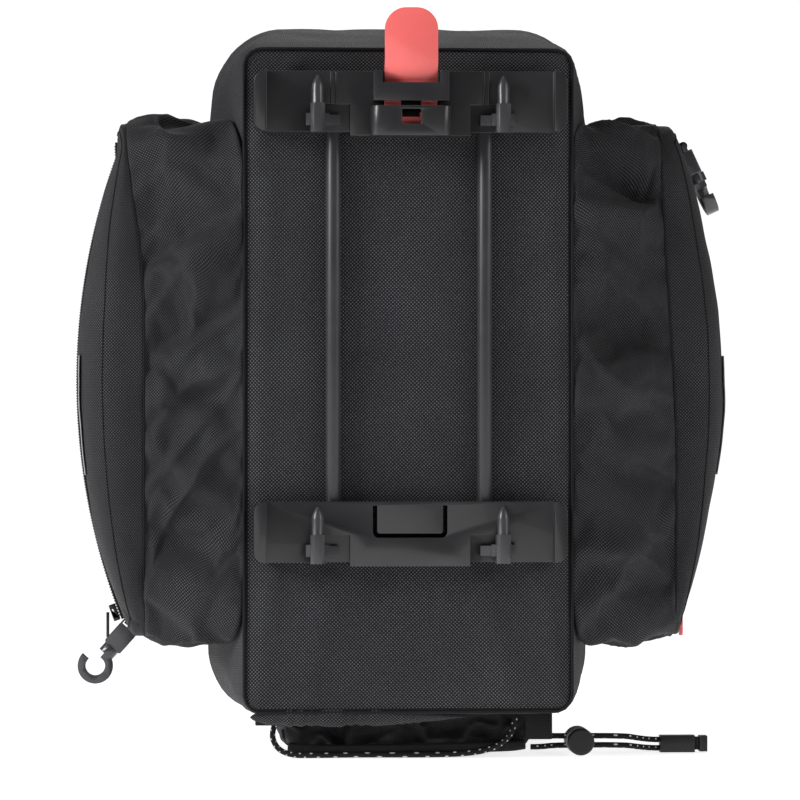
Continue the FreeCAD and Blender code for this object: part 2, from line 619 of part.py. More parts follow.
def lever_spring():
    """A bowed leaf of spring steel: its foot is on the plate, its crown pushes the tongue forward."""
    foot_y = PLATE_FRONT_Y + RECESS
    crown_y = -123.1
    low, high, thick = 325.0, 340.0, 0.4
    middle = (low + high) / 2
    return prism([
        arc((-4, foot_y, low), (-4, crown_y, middle), (-4, foot_y, high)),
        line((-4, foot_y, high), (-4, foot_y, high - 1.0)),
        arc((-4, foot_y, high - 1.0), (-4, crown_y + thick, middle), (-4, foot_y, low + 1.0)),
        line((-4, foot_y, low + 1.0), (-4, foot_y, low)),
    ], (8, 0, 0))


def latch_parts():
    """Yoke, housing, lever, its pin and its return spring."""
    save(latch_yoke(), "latch_yoke")
    save(latch_housing(), "latch_housing")
    save(release_lever(), "release_lever")
    save(rod((-YOKE_HALF, PIVOT_Y, PIVOT_Z), (YOKE_HALF, PIVOT_Y, PIVOT_Z), PIN_R), "lever_pin")
    save(lever_spring(), "lever_spring")


# ---- the main zip's sliders ----
def main_zip_parts():
    """Two sliders that meet in the middle of the rear run, each with its pull hanging down."""
    top = RIM_Z[0] - 0.3
    for way, side in ((-1, "left"), (1, "right")):
        block = slider_block(10.0)
        block.rotate(Vector(0, 0, 0), Vector(0, 1, 0), 90)
        block.translate(Vector(way * MAIN_SLIDER_X, ZIP_MIDDLE_Y, top))
        save(block, f"main_slider_{side}")
        pull = pull_tab(11.0)
        pull.translate(Vector(way * MAIN_SLIDER_X, ZIP_MIDDLE_Y, top - 5.6))
        save(pull, f"main_pull_{side}")


# ---- rings for a shoulder strap ----
def d_ring(place, direction):
    """A wire D-ring: its straight bar is on the pivot and its bow reaches along direction."""
    x, y, z = place
    centre = Vector(*place)
    tip = centre + Vector(*direction) * RING_REACH
    bow = [
        line((x - RING_HALF, y, z), (x + RING_HALF, y, z)),
        Part.Arc(centre + Vector(RING_HALF, 0, 0), tip, centre - Vector(RING_HALF, 0, 0)).toShape(),
    ]
    bar = rod((x - RING_HALF, y, z), (x + RING_HALF, y, z), RING_WIRE)
    start = bow[1].valueAt(bow[1].FirstParameter)
    circle = Part.Wire(Part.makeCircle(RING_WIRE, start, bow[1].tangentAt(bow[1].FirstParameter)))
    arch = Part.Wire([bow[1]]).makePipeShell([circle], True, True)
    ends = [Part.makeSphere(RING_WIRE, centre + Vector(way * RING_HALF, 0, 0)) for way in (-1, 1)]
    return bar.fuse([arch] + ends).removeSplitter()


def ring_parts(body):
    """The D-rings at both ends of the bag, each in a webbing tab sewn to its wall."""
    for name, place, direction, way in (("front", RING_FRONT, (0, 1, 0), -1), ("rear", RING_REAR, (0, 0, -1), 1)):
        x, y, z = place
        reach = sorted((z + way * 8.0, z - way * 2.4))
        tab = box((x - 8, x + 8), (y - 2.6, y + 2.6), reach)
        bore = rod((x - 9, y, z), (x + 9, y, z), RING_WIRE + 0.08)
        save(tab.cut(body).cut(bore), f"ring_tab_{name}")
        save(d_ring(place, direction), f"d_ring_{name}")


# ---- the rear pocket ----
def pocket_parts(body):
    """The pocket on the rear end, open towards the lid, and the two webbing loops at its corners."""
    x, y = POCKET_X, POCKET_Y
    skin = POCKET_SKIN
    outside = box(x, y, (0, 26))
    inside = box((x[0] + skin, x[1] - skin), (y[0] + skin, y[1] + 1), (skin, 30))
    save(outside.cut(inside).cut(body), "rear_pocket")
    left = box((-79.0, -57.0), (-96.0, -93.0), (17.6, 30.0))
    right = box((62.0, 76.0), (-91.5, -89.6), (9.5, 30.0))
    save(left.cut(body), "webbing_loop_left")
    save(right.cut(body), "webbing_loop_right")


# ---- elastic cords ----
def cord_tube(points, radius, name):
    """A tube of straight runs joined by tangent arcs, each as large as its two runs allow."""
    points = [Vector(*point) for point in points]
    edges = []
    here = points[0]
    radii = []
    for before, at, after in zip(points, points[1:], points[2:]):
        back = before - at
        on = after - at
        half_turn = (math.pi - back.getAngle(on)) / 2
        bend = 0.45 * min(back.Length, on.Length) / math.tan(half_turn)
        radii.append(bend)
        cut = bend * math.tan(half_turn)
        enter = at + back.normalize() * cut
        leave = at + on.normalize() * cut
        inward = (back + on).normalize()
        middle = at + inward * (bend / math.cos(half_turn) - bend)
        edges.append(Part.LineSegment(here, enter).toShape())
        edges.append(Part.Arc(enter, middle, leave).toShape())
        here = leave
    edges.append(Part.LineSegment(here, points[-1]).toShape())
    path = Part.Wire(edges)
    circle = Part.Wire(Part.makeCircle(radius, points[0], points[1] - points[0]))
    tube = path.makePipeShell([circle], True, True)
    expected = math.pi * radius ** 2 * path.Length
    print(f"{name}: length {path.Length:.1f}, smallest radius {min(radii):.1f}, "
          f"volume {tube.Volume / expected:.4f} of section times length")
    return tube


# The route points of the cords. Upper and lower strand leave the pocket's right side, pass through the
# cord lock and end in the hook. The drawcord is held by the pocket's lower hem.
STRAND_UPPER = [(66.3, -72.0, 10.0), (72.0, -72.0, 10.0), (79.0, STRAND_Y, 9.7), (116.0, STRAND_Y, 9.7),
                (124.0, -65.6, 8.0), (132.0, END_HOOK_Y, 6.7), (138.5, END_HOOK_Y, 6.7)]
STRAND_LOWER = [(66.3, -73.2, 4.2), (72.0, -73.2, 4.2), (79.0, STRAND_Y, 4.9), (116.0, STRAND_Y, 4.9),
                (124.5, -64.8, 3.3), (132.0, END_HOOK_Y, 2.3), (138.5, END_HOOK_Y, 2.3)]
DRAWCORD = [(-67.0, -88.0, 21.0), (-70.8, -89.4, 14.2), (-68.2, -90.6, 5.6), (-60.6, -90.2, 1.7),
            (-48.0, -90.8, 1.7), (-24.0, -90.0, 1.9), (8.0, -91.0, 1.7), (30.0, -90.1, 2.0),
            (43.0, -90.8, 4.0), (51.5, -90.2, 8.5), (56.0, -91.0, 15.0), (56.5, -90.4, 21.0)]


def cord_lock():
    """The cord lock's barrel: a cup with two cross holes for the strands."""
    y = LOCK_Y
    barrel = rod((LOCK_X, y[0], LOCK_Z), (LOCK_X, y[1], LOCK_Z), LOCK_R)
    barrel = barrel.makeFillet(1.6, [e for e in barrel.Edges if e.BoundBox.YMin > y[1] - 0.1])
    barrel = barrel.cut(rod((LOCK_X, y[0] - 1, LOCK_Z), (LOCK_X, y[1] - 1.5, LOCK_Z), 4.98))
    for way in (-1, 1):
        z = LOCK_Z + way * STRAND_OFFSET
        barrel = barrel.cut(rod((LOCK_X - 9, STRAND_Y, z), (LOCK_X + 9, STRAND_Y, z), CORD_R + 0.12))
    return barrel


def lock_button():
    """The cord lock's button: a round cap and a plunger with two oblong slots for the strands."""
    front = LOCK_Y[0] - LOCK_TRAVEL
    cap = rod((LOCK_X, front - 3.2, LOCK_Z), (LOCK_X, front, LOCK_Z), LOCK_R)
    cap = cap.makeFillet(1.2, [e for e in cap.Edges if e.BoundBox.YMax < front - 3.1])
    button = cap.fuse(rod((LOCK_X, front, LOCK_Z), (LOCK_X, LOCK_Y[1] - 6.5, LOCK_Z), 4.9)).removeSplitter()
    for way in (-1, 1):
        z = LOCK_Z + way * STRAND_OFFSET
        half = CORD_R + 0.12
        button = button.cut(rod((LOCK_X - 9, STRAND_Y, z), (LOCK_X + 9, STRAND_Y, z), half))
        pressed = STRAND_Y - LOCK_TRAVEL
        button = button.cut(rod((LOCK_X - 9, pressed, z), (LOCK_X + 9, pressed, z), half))
        button = button.cut(box((LOCK_X - 9, LOCK_X + 9), (pressed, STRAND_Y), (z - half, z + half)))
    return button


def end_hook():
    """The hook at the end of the elastic strands: a block with a sideways mouth, flat on the floor."""
    z = (0.2, 9.0)
    x = END_HOOK_X
    y = END_HOOK_Y
    block = box((x, x + 18.5), (y - 4.2, y + 4.2), z)
    block = block.makeFillet(1.0, [e for e in block.Edges if abs(e.tangentAt(0).z) > 0.9])
    neck = box((x + 17.0, x + 25.0), (y + 1.0, y + 4.2), (z[0] + 1.0, z[1] - 1.0))
    lip = box((x + 21.0, x + 25.0), (y - 4.2, y + 4.2), (z[0] + 0.4, z[1] - 0.2))
    hook = block.fuse([neck, lip]).removeSplitter()
    for points in (STRAND_UPPER, STRAND_LOWER):
        height = points[-1][2]
        hook = hook.cut(rod((x - 1, y, height), (x + 3.0, y, height), CORD_R + 0.25))
    return hook


def cord_parts():
    """The elastic strands, their lock and end hook, and the pocket's drawcord."""
    save(cord_tube(STRAND_UPPER, CORD_R, "upper strand"), "elastic_strand_upper")
    save(cord_tube(STRAND_LOWER, CORD_R, "lower strand"), "elastic_strand_lower")
    save(cord_tube(DRAWCORD, CORD_R, "drawcord"), "pocket_drawcord")
    save(cord_lock(), "cord_lock_barrel")
    save(lock_button(), "cord_lock_button")
    spring_y = (LOCK_Y[1] - 6.3, LOCK_Y[1] - 1.7)
    rings = [Part.makeTorus(3.4, 0.4, Vector(LOCK_X, spring_y[0] + 0.6 + turn * 1.5, LOCK_Z), Vector(0, 1, 0))
             for turn in range(3)]
    save(group(rings), "cord_lock_spring")
    save(end_hook(), "elastic_end_hook")


BODY = envelope(0)
base_parts(BODY)
body_parts(BODY)
lid_parts()
side_bag_parts(BODY)
strap_parts()
adapter_parts()
latch_parts()
main_zip_parts()
ring_parts(BODY)
pocket_parts(BODY)
cord_parts()
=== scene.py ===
"""A bicycle's rack-top bag with two fold-out side bags, stood on its rear end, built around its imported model.

Metres, in the model's own frame: +Z up to the bag's front end, -Y the base with the rack adapter, +Y the lid.
It is laid out as an add-on and run as a script.
"""

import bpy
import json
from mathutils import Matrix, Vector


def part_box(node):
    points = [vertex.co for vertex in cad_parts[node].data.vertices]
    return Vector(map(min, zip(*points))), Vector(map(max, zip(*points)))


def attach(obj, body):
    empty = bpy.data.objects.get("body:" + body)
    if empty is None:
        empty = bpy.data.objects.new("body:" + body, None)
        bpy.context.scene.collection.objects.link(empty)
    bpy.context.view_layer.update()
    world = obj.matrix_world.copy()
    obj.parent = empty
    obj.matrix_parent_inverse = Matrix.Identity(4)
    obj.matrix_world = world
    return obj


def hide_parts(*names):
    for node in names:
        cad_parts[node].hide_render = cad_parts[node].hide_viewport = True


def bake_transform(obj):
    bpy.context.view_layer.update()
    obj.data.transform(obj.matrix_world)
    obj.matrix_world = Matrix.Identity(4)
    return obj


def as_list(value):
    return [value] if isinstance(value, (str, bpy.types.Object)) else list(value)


bl_info = {
    "name": "Rack-top bag",
    "version": (1, 0, 0),
    "blender": (4, 5, 0),
    "location": "View3D > Sidebar > Rack bag",
    "description": "Builds a rack-top bag with side bags, its fabric, seams, zips, cords and adapter",
    "category": "Object",
}

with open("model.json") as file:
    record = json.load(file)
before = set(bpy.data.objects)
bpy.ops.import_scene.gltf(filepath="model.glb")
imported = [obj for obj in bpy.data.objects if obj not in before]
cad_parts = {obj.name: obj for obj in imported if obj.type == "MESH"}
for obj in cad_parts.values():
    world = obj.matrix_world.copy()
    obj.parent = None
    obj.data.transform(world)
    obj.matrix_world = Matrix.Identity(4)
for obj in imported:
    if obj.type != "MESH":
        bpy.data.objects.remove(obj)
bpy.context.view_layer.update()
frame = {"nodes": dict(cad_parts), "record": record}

import json
import math

import bmesh
import bpy
from mathutils import Matrix, Vector, noise

BODY = {node: body for body, nodes in frame["record"]["behaviour"]["bodies"].items() for node in nodes}
SLOT = {part["node"]: part["material_slot"] for part in frame["record"]["subparts"]}
MM = 0.001
X_AXIS = Vector((1, 0, 0))
Y_AXIS = Vector((0, 1, 0))
Z_AXIS = Vector((0, 0, 1))

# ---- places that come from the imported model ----
RIM_LOW, RIM_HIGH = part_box("body_zip_tape")
LID_ZIP_LOW, LID_ZIP_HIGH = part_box("lid_zip_tape")
LID_LOW, LID_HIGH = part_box("lid_shell")
BELLY_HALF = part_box("right_wall")[1].x
BELLY_Z = (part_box("rear_wall")[0].z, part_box("front_wall")[1].z)
BASE_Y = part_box("base_panel")[0].y
BASE_HALF = 85 * MM
BASE_Z = (25 * MM, 368 * MM)
BELLY_Y = -25 * MM
RIM_Y = RIM_LOW.y
BASE_CORNER = 9 * MM
BELLY_CORNER = 34 * MM
RIM_CORNER = 30 * MM
WALL = 3.5 * MM

PANEL_LOW, PANEL_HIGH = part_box("right_bag_panel")
BAG_RIM_X = 139 * MM
BAG_OUT = 171.5 * MM
BAG_END_X = 145 * MM
BAG_CORNER = 24 * MM
BAG_MID_Y = (PANEL_LOW.y + PANEL_HIGH.y) / 2
BAG_HALF_Y = (PANEL_HIGH.y - PANEL_LOW.y) / 2
BAG_MID_Z = (PANEL_LOW.z + PANEL_HIGH.z) / 2
BAG_HALF_Z = (PANEL_HIGH.z - PANEL_LOW.z) / 2
BAG_ARC = (BAG_HALF_Z ** 2 + (BAG_OUT - BAG_END_X) ** 2) / (2 * (BAG_OUT - BAG_END_X))
GUSSET_Y = (BASE_Y + 0.4 * MM, 50 * MM)
GUSSET_Z = (60 * MM, 331 * MM)
GUSSET_CORNER = 22 * MM

POCKET_LOW, POCKET_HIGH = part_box("rear_pocket")
POCKET_TOP = 25 * MM

# ---- shapes of the fabric ----
LID_SHARP = 6.0         # how square the lid's crown is across it
LID_END_SHARP = 1.6 * LID_SHARP
PANEL_SHARP = 3.6       # how square a side bag's panel is across it
PANEL_END_SHARP = 9.0
BASE_FOLD_DEPTH = 1.8   # every fold of the base is this many times as high as its own height
# each fold of the base: its start and end as x and z, its width and its height, all in mm
BASE_FOLDS = [
    ((-70, 96), (-80, 32), 7, 1.1),
    ((-42, 92), (-52, 30), 8, 0.9),
    ((40, 92), (52, 30), 8, 0.9),
    ((70, 96), (80, 34), 6, 1.0),
    ((-12, 84), (-8, 34), 10, 0.7),
    ((-79, 320), (-60, 360), 6, 1.1),
    ((79, 320), (60, 360), 6, 1.1),
    ((-80, 150), (-72, 300), 7, 0.8),
    ((80, 150), (72, 300), 7, 0.8),
]
GUSSET_FOLD_DEPTH = 1.9   # every fold of a gusset is this many times as deep as its own depth
# each fold of a gusset: its share round the gusset at the body and at the panel, its width and its depth
GUSSET_FOLDS = {
    "left": [(0.700, 0.730, 0.016, -5.0), (0.735, 0.765, 0.010, 4.0), (0.770, 0.740, 0.012, -3.5),
             (0.830, 0.790, 0.012, 4.0), (0.655, 0.690, 0.014, 4.0), (0.870, 0.850, 0.014, -4.0),
             (0.540, 0.520, 0.018, -5.0), (0.250, 0.280, 0.020, 4.0), (0.050, 0.020, 0.020, -4.0)],
    "right": [(0.590, 0.630, 0.014, -9.0), (0.640, 0.650, 0.010, 4.0), (0.700, 0.725, 0.014, -4.0),
              (0.760, 0.745, 0.012, 4.0), (0.800, 0.825, 0.012, -4.0), (0.860, 0.840, 0.014, 4.0),
              (0.480, 0.500, 0.018, -5.0), (0.220, 0.260, 0.020, 4.0), (0.040, 0.000, 0.020, -4.0)],
}

# ---- the stage's places ----
CAMERA_AIM = Vector((-4.4 * MM, BASE_Y, 186.5 * MM))
CAMERA_DISTANCE = 2.3
CAMERA_TURN = math.radians(3.5)
FLOOR_HALF = 1.4
FLOOR_GLOW = 0.78

# ---- cords: the points of their routes, in metres ----
STRAND_UPPER = [(0.0663, -0.0720, 0.0100), (0.0720, -0.0720, 0.0100), (0.0790, -0.0705, 0.0097),
                (0.1160, -0.0705, 0.0097), (0.1240, -0.0656, 0.0080), (0.1320, -0.0600, 0.0067),
                (0.1385, -0.0600, 0.0067)]
STRAND_LOWER = [(0.0663, -0.0732, 0.0042), (0.0720, -0.0732, 0.0042), (0.0790, -0.0705, 0.0049),
                (0.1160, -0.0705, 0.0049), (0.1245, -0.0648, 0.0033), (0.1320, -0.0600, 0.0023),
                (0.1385, -0.0600, 0.0023)]
DRAWCORD = [(-0.0670, -0.0880, 0.0210), (-0.0708, -0.0894, 0.0142), (-0.0682, -0.0906, 0.0056),
            (-0.0606, -0.0902, 0.0017), (-0.0480, -0.0908, 0.0017), (-0.0240, -0.0900, 0.0019),
            (0.0080, -0.0910, 0.0017), (0.0300, -0.0901, 0.0020), (0.0430, -0.0908, 0.0040),
            (0.0515, -0.0902, 0.0085), (0.0560, -0.0910, 0.0150), (0.0565, -0.0904, 0.0210)]
CORD_DIAMETER = 3 * MM
STRAND_SPAN = 0.075     # the length that a strand's braid is spread over
DRAWCORD_SPAN = 0.150   # the same for the drawcord
FLECK = (0.55, 0.55, 0.56)


# ---- sizes and colours that a user may change ----
class RackBagSettings(bpy.types.PropertyGroup):
    """Sizes and colours of the bag."""
    weave: bpy.props.FloatProperty(
        name="Weave pitch", description="Distance between neighbouring dots of the weave",
        default=1.9 * MM, subtype="DISTANCE")
    piping: bpy.props.FloatProperty(
        name="Piping radius", description="Radius of the piped seams", default=0.8 * MM, subtype="DISTANCE")
    slack: bpy.props.FloatProperty(
        name="Gusset slack",
        description="How much longer the side bags' gussets are cut than they need to be",
        default=0.10, subtype="FACTOR")
    fabric: bpy.props.FloatVectorProperty(
        name="Fabric", description="Colour of the woven fabric",
        default=(0.0072, 0.0072, 0.0080), subtype="COLOR")
    plastic: bpy.props.FloatVectorProperty(
        name="Plastic", description="Colour of the rack adapter",
        default=(0.020, 0.020, 0.022), subtype="COLOR")
    red: bpy.props.FloatVectorProperty(
        name="Red", description="Colour of the release lever",
        default=(0.95, 0.165, 0.155), subtype="COLOR")
    floor: bpy.props.FloatVectorProperty(
        name="Floor", description="Colour of the floor", default=(0.90, 0.90, 0.90), subtype="COLOR")
    key_light: bpy.props.FloatProperty(
        name="Key light", description="Power of the main soft light", default=29.0, unit="POWER")
    surround: bpy.props.FloatProperty(
        name="Surround", description="How strongly the white surround lights the bag", default=0.09)


def settings():
    """The settings of this scene."""
    return bpy.context.scene.rack_bag


# ---- small sums ----
def between(low, high, share):
    """The value a share of the way from low to high."""
    return low + (high - low) * share


def smooth(share):
    """A share from 0 to 1 with a gentle start and end."""
    share = min(max(share, 0.0), 1.0)
    return share * share * (3 - 2 * share)


def rounded_rectangle(share, width, height, radius):
    """The point a share of the way round a round-cornered rectangle, from the middle of its lower side."""
    quarter, inside = divmod((share % 1) * 4, 1)
    flat_x = width / 2 - radius
    flat_z = height / 2 - radius
    bend = math.pi * radius / 2
    run = flat_x + bend + flat_z
    gone = run * (1 - inside if quarter % 2 else inside)
    if gone <= flat_x:
        x, z = gone, -height / 2
    elif gone <= flat_x + bend:
        angle = (gone - flat_x) / radius
        x, z = flat_x + radius * math.sin(angle), -flat_z - radius * math.cos(angle)
    else:
        x, z = width / 2, gone - run
    return (x if quarter < 2 else -x), (-z if quarter in (1, 2) else z)


def corner_rounded(a, b, half_a, half_b, radius):
    """A point of a rectangle, drawn in where it lies in a corner, so that the corner is round."""
    over_a = abs(a) - (half_a - radius)
    over_b = abs(b) - (half_b - radius)
    if over_a <= 0 or over_b <= 0:
        return a, b
    shrink = max(over_a, over_b) / math.hypot(over_a, over_b)
    a = math.copysign(half_a - radius + over_a * shrink, a)
    b = math.copysign(half_b - radius + over_b * shrink, b)
    return a, b


def inset_ring(share, half_a, half_b, inset, radius):
    """A place on a ring inside a padded piece's outline, across and along it, from -1 to 1."""
    a, b = rounded_rectangle(share, 2 * (half_a - inset), 2 * (half_b - inset), radius - inset)
    over_a = abs(a) - (half_a - radius)
    over_b = abs(b) - (half_b - radius)
    if over_a > 0 and over_b > 0:
        grow = math.hypot(over_a, over_b) / max(over_a, over_b)
        a = math.copysign(half_a - radius + over_a * grow, a)
        b = math.copysign(half_b - radius + over_b * grow, b)
    return a / half_a, b / half_b


def arch(sharp, wide, high):
    """Even steps over a flat-topped arch: gives the place along it, -1 to 1, and its height, 0 to 1."""
    steps = 600
    points = []
    for step in range(steps + 1):
        angle = math.pi * (1 - step / steps)
        along = math.copysign(abs(math.cos(angle)) ** (2 / sharp), math.cos(angle))
        points.append((along, abs(math.sin(angle)) ** (2 / sharp)))
    gone = [0.0]
    for old, new in zip(points, points[1:]):
        gone.append(gone[-1] + math.hypot((new[0] - old[0]) * wide, (new[1] - old[1]) * high))

    def at(share):
        """The point of the arch a share of the way along its length."""
        wanted = min(max(share, 0.0), 1.0) * gone[-1]
        low, top = 0, steps
        while top - low > 1:
            middle = (low + top) // 2
            low, top = (middle, top) if gone[middle] <= wanted else (low, middle)
        part = (wanted - gone[low]) / max(gone[top] - gone[low], 1e-12)
        return (between(points[low][0], points[top][0], part), between(points[low][1], points[top][1], part))
    return at


def ripple(point, size, depth, seed=0.0):
    """How far fabric stands proud at a point, in soft waves of about that size."""
    return depth * noise.noise(point / size + Vector((seed, 2 * seed, 3 * seed)))


def crumple(point, size, depth, seed=0.0):
    """The same with sharp folds between soft hollows."""
    wave = noise.noise(point / size + Vector((seed, 2 * seed, 3 * seed)))
    return depth * ((1 - min(abs(wave) * 2.2, 1.0)) ** 2 - 0.3)


def fold(a, b, start, end, width, height):
    """Height at (a, b) of a soft fold that runs from start to end."""
    along = Vector((end[0] - start[0], end[1] - start[1]))
    here = Vector((a - start[0], b - start[1]))
    part = min(max(here.dot(along) / along.length_squared, 0.0), 1.0)
    distance = (here - along * part).length
    return height * math.exp(-(distance / width) ** 2)


# ---- mesh helpers ----
def mapped(across, along, place, centre=None):
    """A grid whose points are put where place(u, v) says, u and v from 0 to 1, with a UV map in metres."""
    bm = bmesh.new()
    layer = bm.loops.layers.uv.new("UVMap")
    bmesh.ops.create_grid(bm, x_segments=across, y_segments=along, size=0.5)
    row = lengths([place(i / across, 0.5) for i in range(across + 1)])
    columns = [lengths([place(i / 8, j / along) for j in range(along + 1)]) for i in range(8)]
    column = max(columns, key=lambda found: found[-1])
    for face in bm.faces:
        for loop in face.loops:
            i = round((loop.vert.co.x + 0.5) * across)
            j = round((loop.vert.co.y + 0.5) * along)
            loop[layer].uv = (row[i], column[j])
    for vert in bm.verts:
        vert.co = place(vert.co.x + 0.5, vert.co.y + 0.5)
    bmesh.ops.remove_doubles(bm, verts=bm.verts, dist=0.005 * MM)
    bm.normal_update()
    if centre is not None:
        outward = sum(face.calc_area() * face.normal.dot(face.calc_center_median() - centre)
                      for face in bm.faces)
        if outward < 0:
            bmesh.ops.reverse_faces(bm, faces=bm.faces)
    return bm


def lengths(points):
    """The distance from the first point to each point, along the line through them."""
    gone = [0.0]
    for old, new in zip(points, points[1:]):
        gone.append(gone[-1] + (new - old).length)
    return gone


def swept(path, side, width, thick, along, around=12, closed=False):
    """A strap or tube: a rounded section swept along a path, which is a function of a share from 0 to 1."""
    step = 0.25 / along

    def place(u, v):
        """The point of the section that is a share u round it, at a share v of the path."""
        before = path((v - step) % 1 if closed else max(v - step, 0.0))
        after = path((v + step) % 1 if closed else min(v + step, 1.0))
        forward = (after - before).normalized()
        across = (side - forward * side.dot(forward)).normalized()
        a, b = rounded_rectangle(u, width, thick, 0.49 * min(width, thick))
        return path(v % 1 if closed else v) + across * a + forward.cross(across) * b
    bm = mapped(around, along, place)
    if not closed:
        bmesh.ops.holes_fill(bm, edges=[edge for edge in bm.edges if edge.is_boundary])
    bmesh.ops.recalc_face_normals(bm, faces=bm.faces)
    return bm


def through(points):
    """A path of straight runs through points, with its bends eased, as a function of a share from 0 to 1."""
    points = [Vector(point) for point in points]
    for _ in range(3):
        cut = [points[0]]
        for old, new in zip(points, points[1:]):
            cut += [old.lerp(new, 0.25), old.lerp(new, 0.75)]
        points = cut + [points[-1]]
    gone = lengths(points)

    def at(share):
        """The point a share of the way along the path."""
        wanted = min(max(share, 0.0), 1.0) * gone[-1]
        for i in range(len(points) - 1):
            if gone[i + 1] >= wanted:
                return points[i].lerp(points[i + 1], (wanted - gone[i]) / max(gone[i + 1] - gone[i], 1e-12))
        return points[-1]
    return at


def piece(name, bm, nodes=(), body=None, slot=None, finish=None, blended=False):
    """Makes an object of a mesh, gives it its finish, and lets it ride on its body in place of its nodes."""
    for face in bm.faces:
        face.smooth = True
    mesh = bpy.data.meshes.new(name)
    bm.to_mesh(mesh)
    bm.free()
    obj = bpy.data.objects.new(name, mesh)
    bpy.context.scene.collection.objects.link(obj)
    return dressed(obj, nodes, body, slot, finish, blended)


def dressed(obj, nodes=(), body=None, slot=None, finish=None, blended=False):
    """Gives an object its finish, its body and the nodes that it stands for."""
    slot = slot or SLOT[nodes[0]]
    obj.data.materials.append(finish or finish_of(slot))
    if not blended:
        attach(obj, body or BODY[nodes[0]])
    if nodes:
        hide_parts(*nodes)
    return obj


def thicken(obj, by, offset=-1.0):
    """Gives a sheet its thickness."""
    wall = obj.modifiers.new("Thickness", "SOLIDIFY")
    wall.thickness = by
    wall.offset = offset
    return obj


def refine(obj):
    """Subdivides a soft piece once."""
    finer = obj.modifiers.new("Smooth", "SUBSURF")
    finer.levels = 1
    finer.render_levels = 1
    return obj


def apply_modifiers(obj):
    """Makes what an object's modifiers give its own mesh."""
    evaluated = obj.evaluated_get(bpy.context.evaluated_depsgraph_get())
    mesh = bpy.data.meshes.new_from_object(evaluated)
    obj.modifiers.clear()
    obj.data = mesh
    return obj


def softened(node, round_by, finish=None):
    """A copy of a moulded node with its edges rounded, which stands for it."""
    bm = bmesh.new()
    bm.from_mesh(frame["nodes"][node].data)
    bmesh.ops.remove_doubles(bm, verts=bm.verts, dist=0.002 * MM)
    bmesh.ops.dissolve_limit(bm, angle_limit=math.radians(0.5), verts=bm.verts, edges=bm.edges)
    obj = piece(f"{node}_moulded", bm, [node], finish=finish)
    edges = obj.modifiers.new("Edges", "BEVEL")
    edges.width = round_by
    edges.segments = 2
    edges.limit_method = "ANGLE"
    edges.angle_limit = math.radians(40)
    edges.harden_normals = True
    return obj


def settle(obj, held, slack, pressure, frames, cap):
    """Lets a sheet settle as slack cloth, held where held(point) says, and keeps the shape it comes to."""
    group = obj.vertex_groups.new(name="held")
    group.add([vert.index for vert in obj.data.vertices if held(vert.co)], 1.0, "REPLACE")
    start = [vert.co.copy() for vert in obj.data.vertices]
    modifier = obj.modifiers.new("Cloth", "CLOTH")
    cloth = modifier.settings
    cloth.quality = 5
    cloth.mass = 0.2
    cloth.tension_stiffness = 15
    cloth.compression_stiffness = 15
    cloth.shear_stiffness = 5
    cloth.bending_stiffness = 0.1
    cloth.vertex_group_mass = "held"
    cloth.shrink_min = -slack
    cloth.shrink_max = -slack
    cloth.use_pressure = True
    cloth.uniform_pressure_force = pressure
    cloth.effector_weights.gravity = 0.0
    modifier.collision_settings.use_collision = False
    modifier.point_cache.frame_start = 1
    modifier.point_cache.frame_end = frames
    scene = bpy.context.scene
    for step in range(1, frames + 1):
        scene.frame_set(step)
    evaluated = obj.evaluated_get(bpy.context.evaluated_depsgraph_get())
    settled = [vert.co.copy() for vert in evaluated.data.vertices]
    obj.modifiers.remove(modifier)
    obj.vertex_groups.remove(group)
    for vert, old, new in zip(obj.data.vertices, start, settled):
        moved = new - old
        far = moved.length
        vert.co = old + (moved * (cap * math.tanh(far / cap) / far) if far > 1e-9 else moved)
    scene.frame_set(1)
    return obj


def stitches(name, path, length, pitch, body):
    """A row of stitches along a path of that length."""
    bm = bmesh.new()
    count = max(int(length / pitch), 2)
    for i in range(count):
        here = path((i + 0.5) / count)
        ahead = path(min((i + 0.5) / count + 0.002, 1.0)) - path(max((i + 0.5) / count - 0.002, 0.0))
        turn = ahead.to_track_quat("X", "Z").to_matrix().to_4x4()
        size = Matrix.Diagonal((0.62 * pitch, 0.45 * MM, 0.35 * MM, 1.0))
        bmesh.ops.create_cube(bm, size=1.0, matrix=Matrix.Translation(here) @ turn @ size)
    return piece(name, bm, body=body, slot="webbing", finish=finish_of("thread"))


# ---- finishes ----
def add(tree, kind, inputs=(), **options):
    """Adds a shader node, sets its options and feeds its inputs with numbers, colours or other sockets."""
    made = tree.nodes.new(kind)
    for key, value in options.items():
        setattr(made, key, value)
    for key, value in dict(inputs).items():
        if isinstance(value, bpy.types.NodeSocket):
            tree.links.new(value, made.inputs[key])
        else:
            made.inputs[key].default_value = value
    return made


def calc(tree, operation, first, second=0.0):
    """A sum of two numbers or sockets."""
    return add(tree, "ShaderNodeMath", {0: first, 1: second}, operation=operation).outputs[0]


def blank(name):
    """A new material, its node tree and its shader."""
    material = bpy.data.materials.new(name)
    material.use_nodes = True
    tree = material.node_tree
    return material, tree, tree.nodes["Principled BSDF"]


def mixed(tree, share, dark, light):
    """A colour between two colours."""
    mix = add(tree, "ShaderNodeMix", {0: share}, data_type="RGBA")
    mix.inputs["A"].default_value = (*dark, 1)
    mix.inputs["B"].default_value = (*light, 1)
    return mix.outputs["Result"]


def cloud(tree, scale, detail=2.0, rough=0.5):
    """A soft random pattern from 0 to 1."""
    coordinates = add(tree, "ShaderNodeTexCoord").outputs["Object"]
    inputs = {"Vector": coordinates, "Scale": scale, "Detail": detail, "Roughness": rough}
    return add(tree, "ShaderNodeTexNoise", inputs).outputs["Fac"]


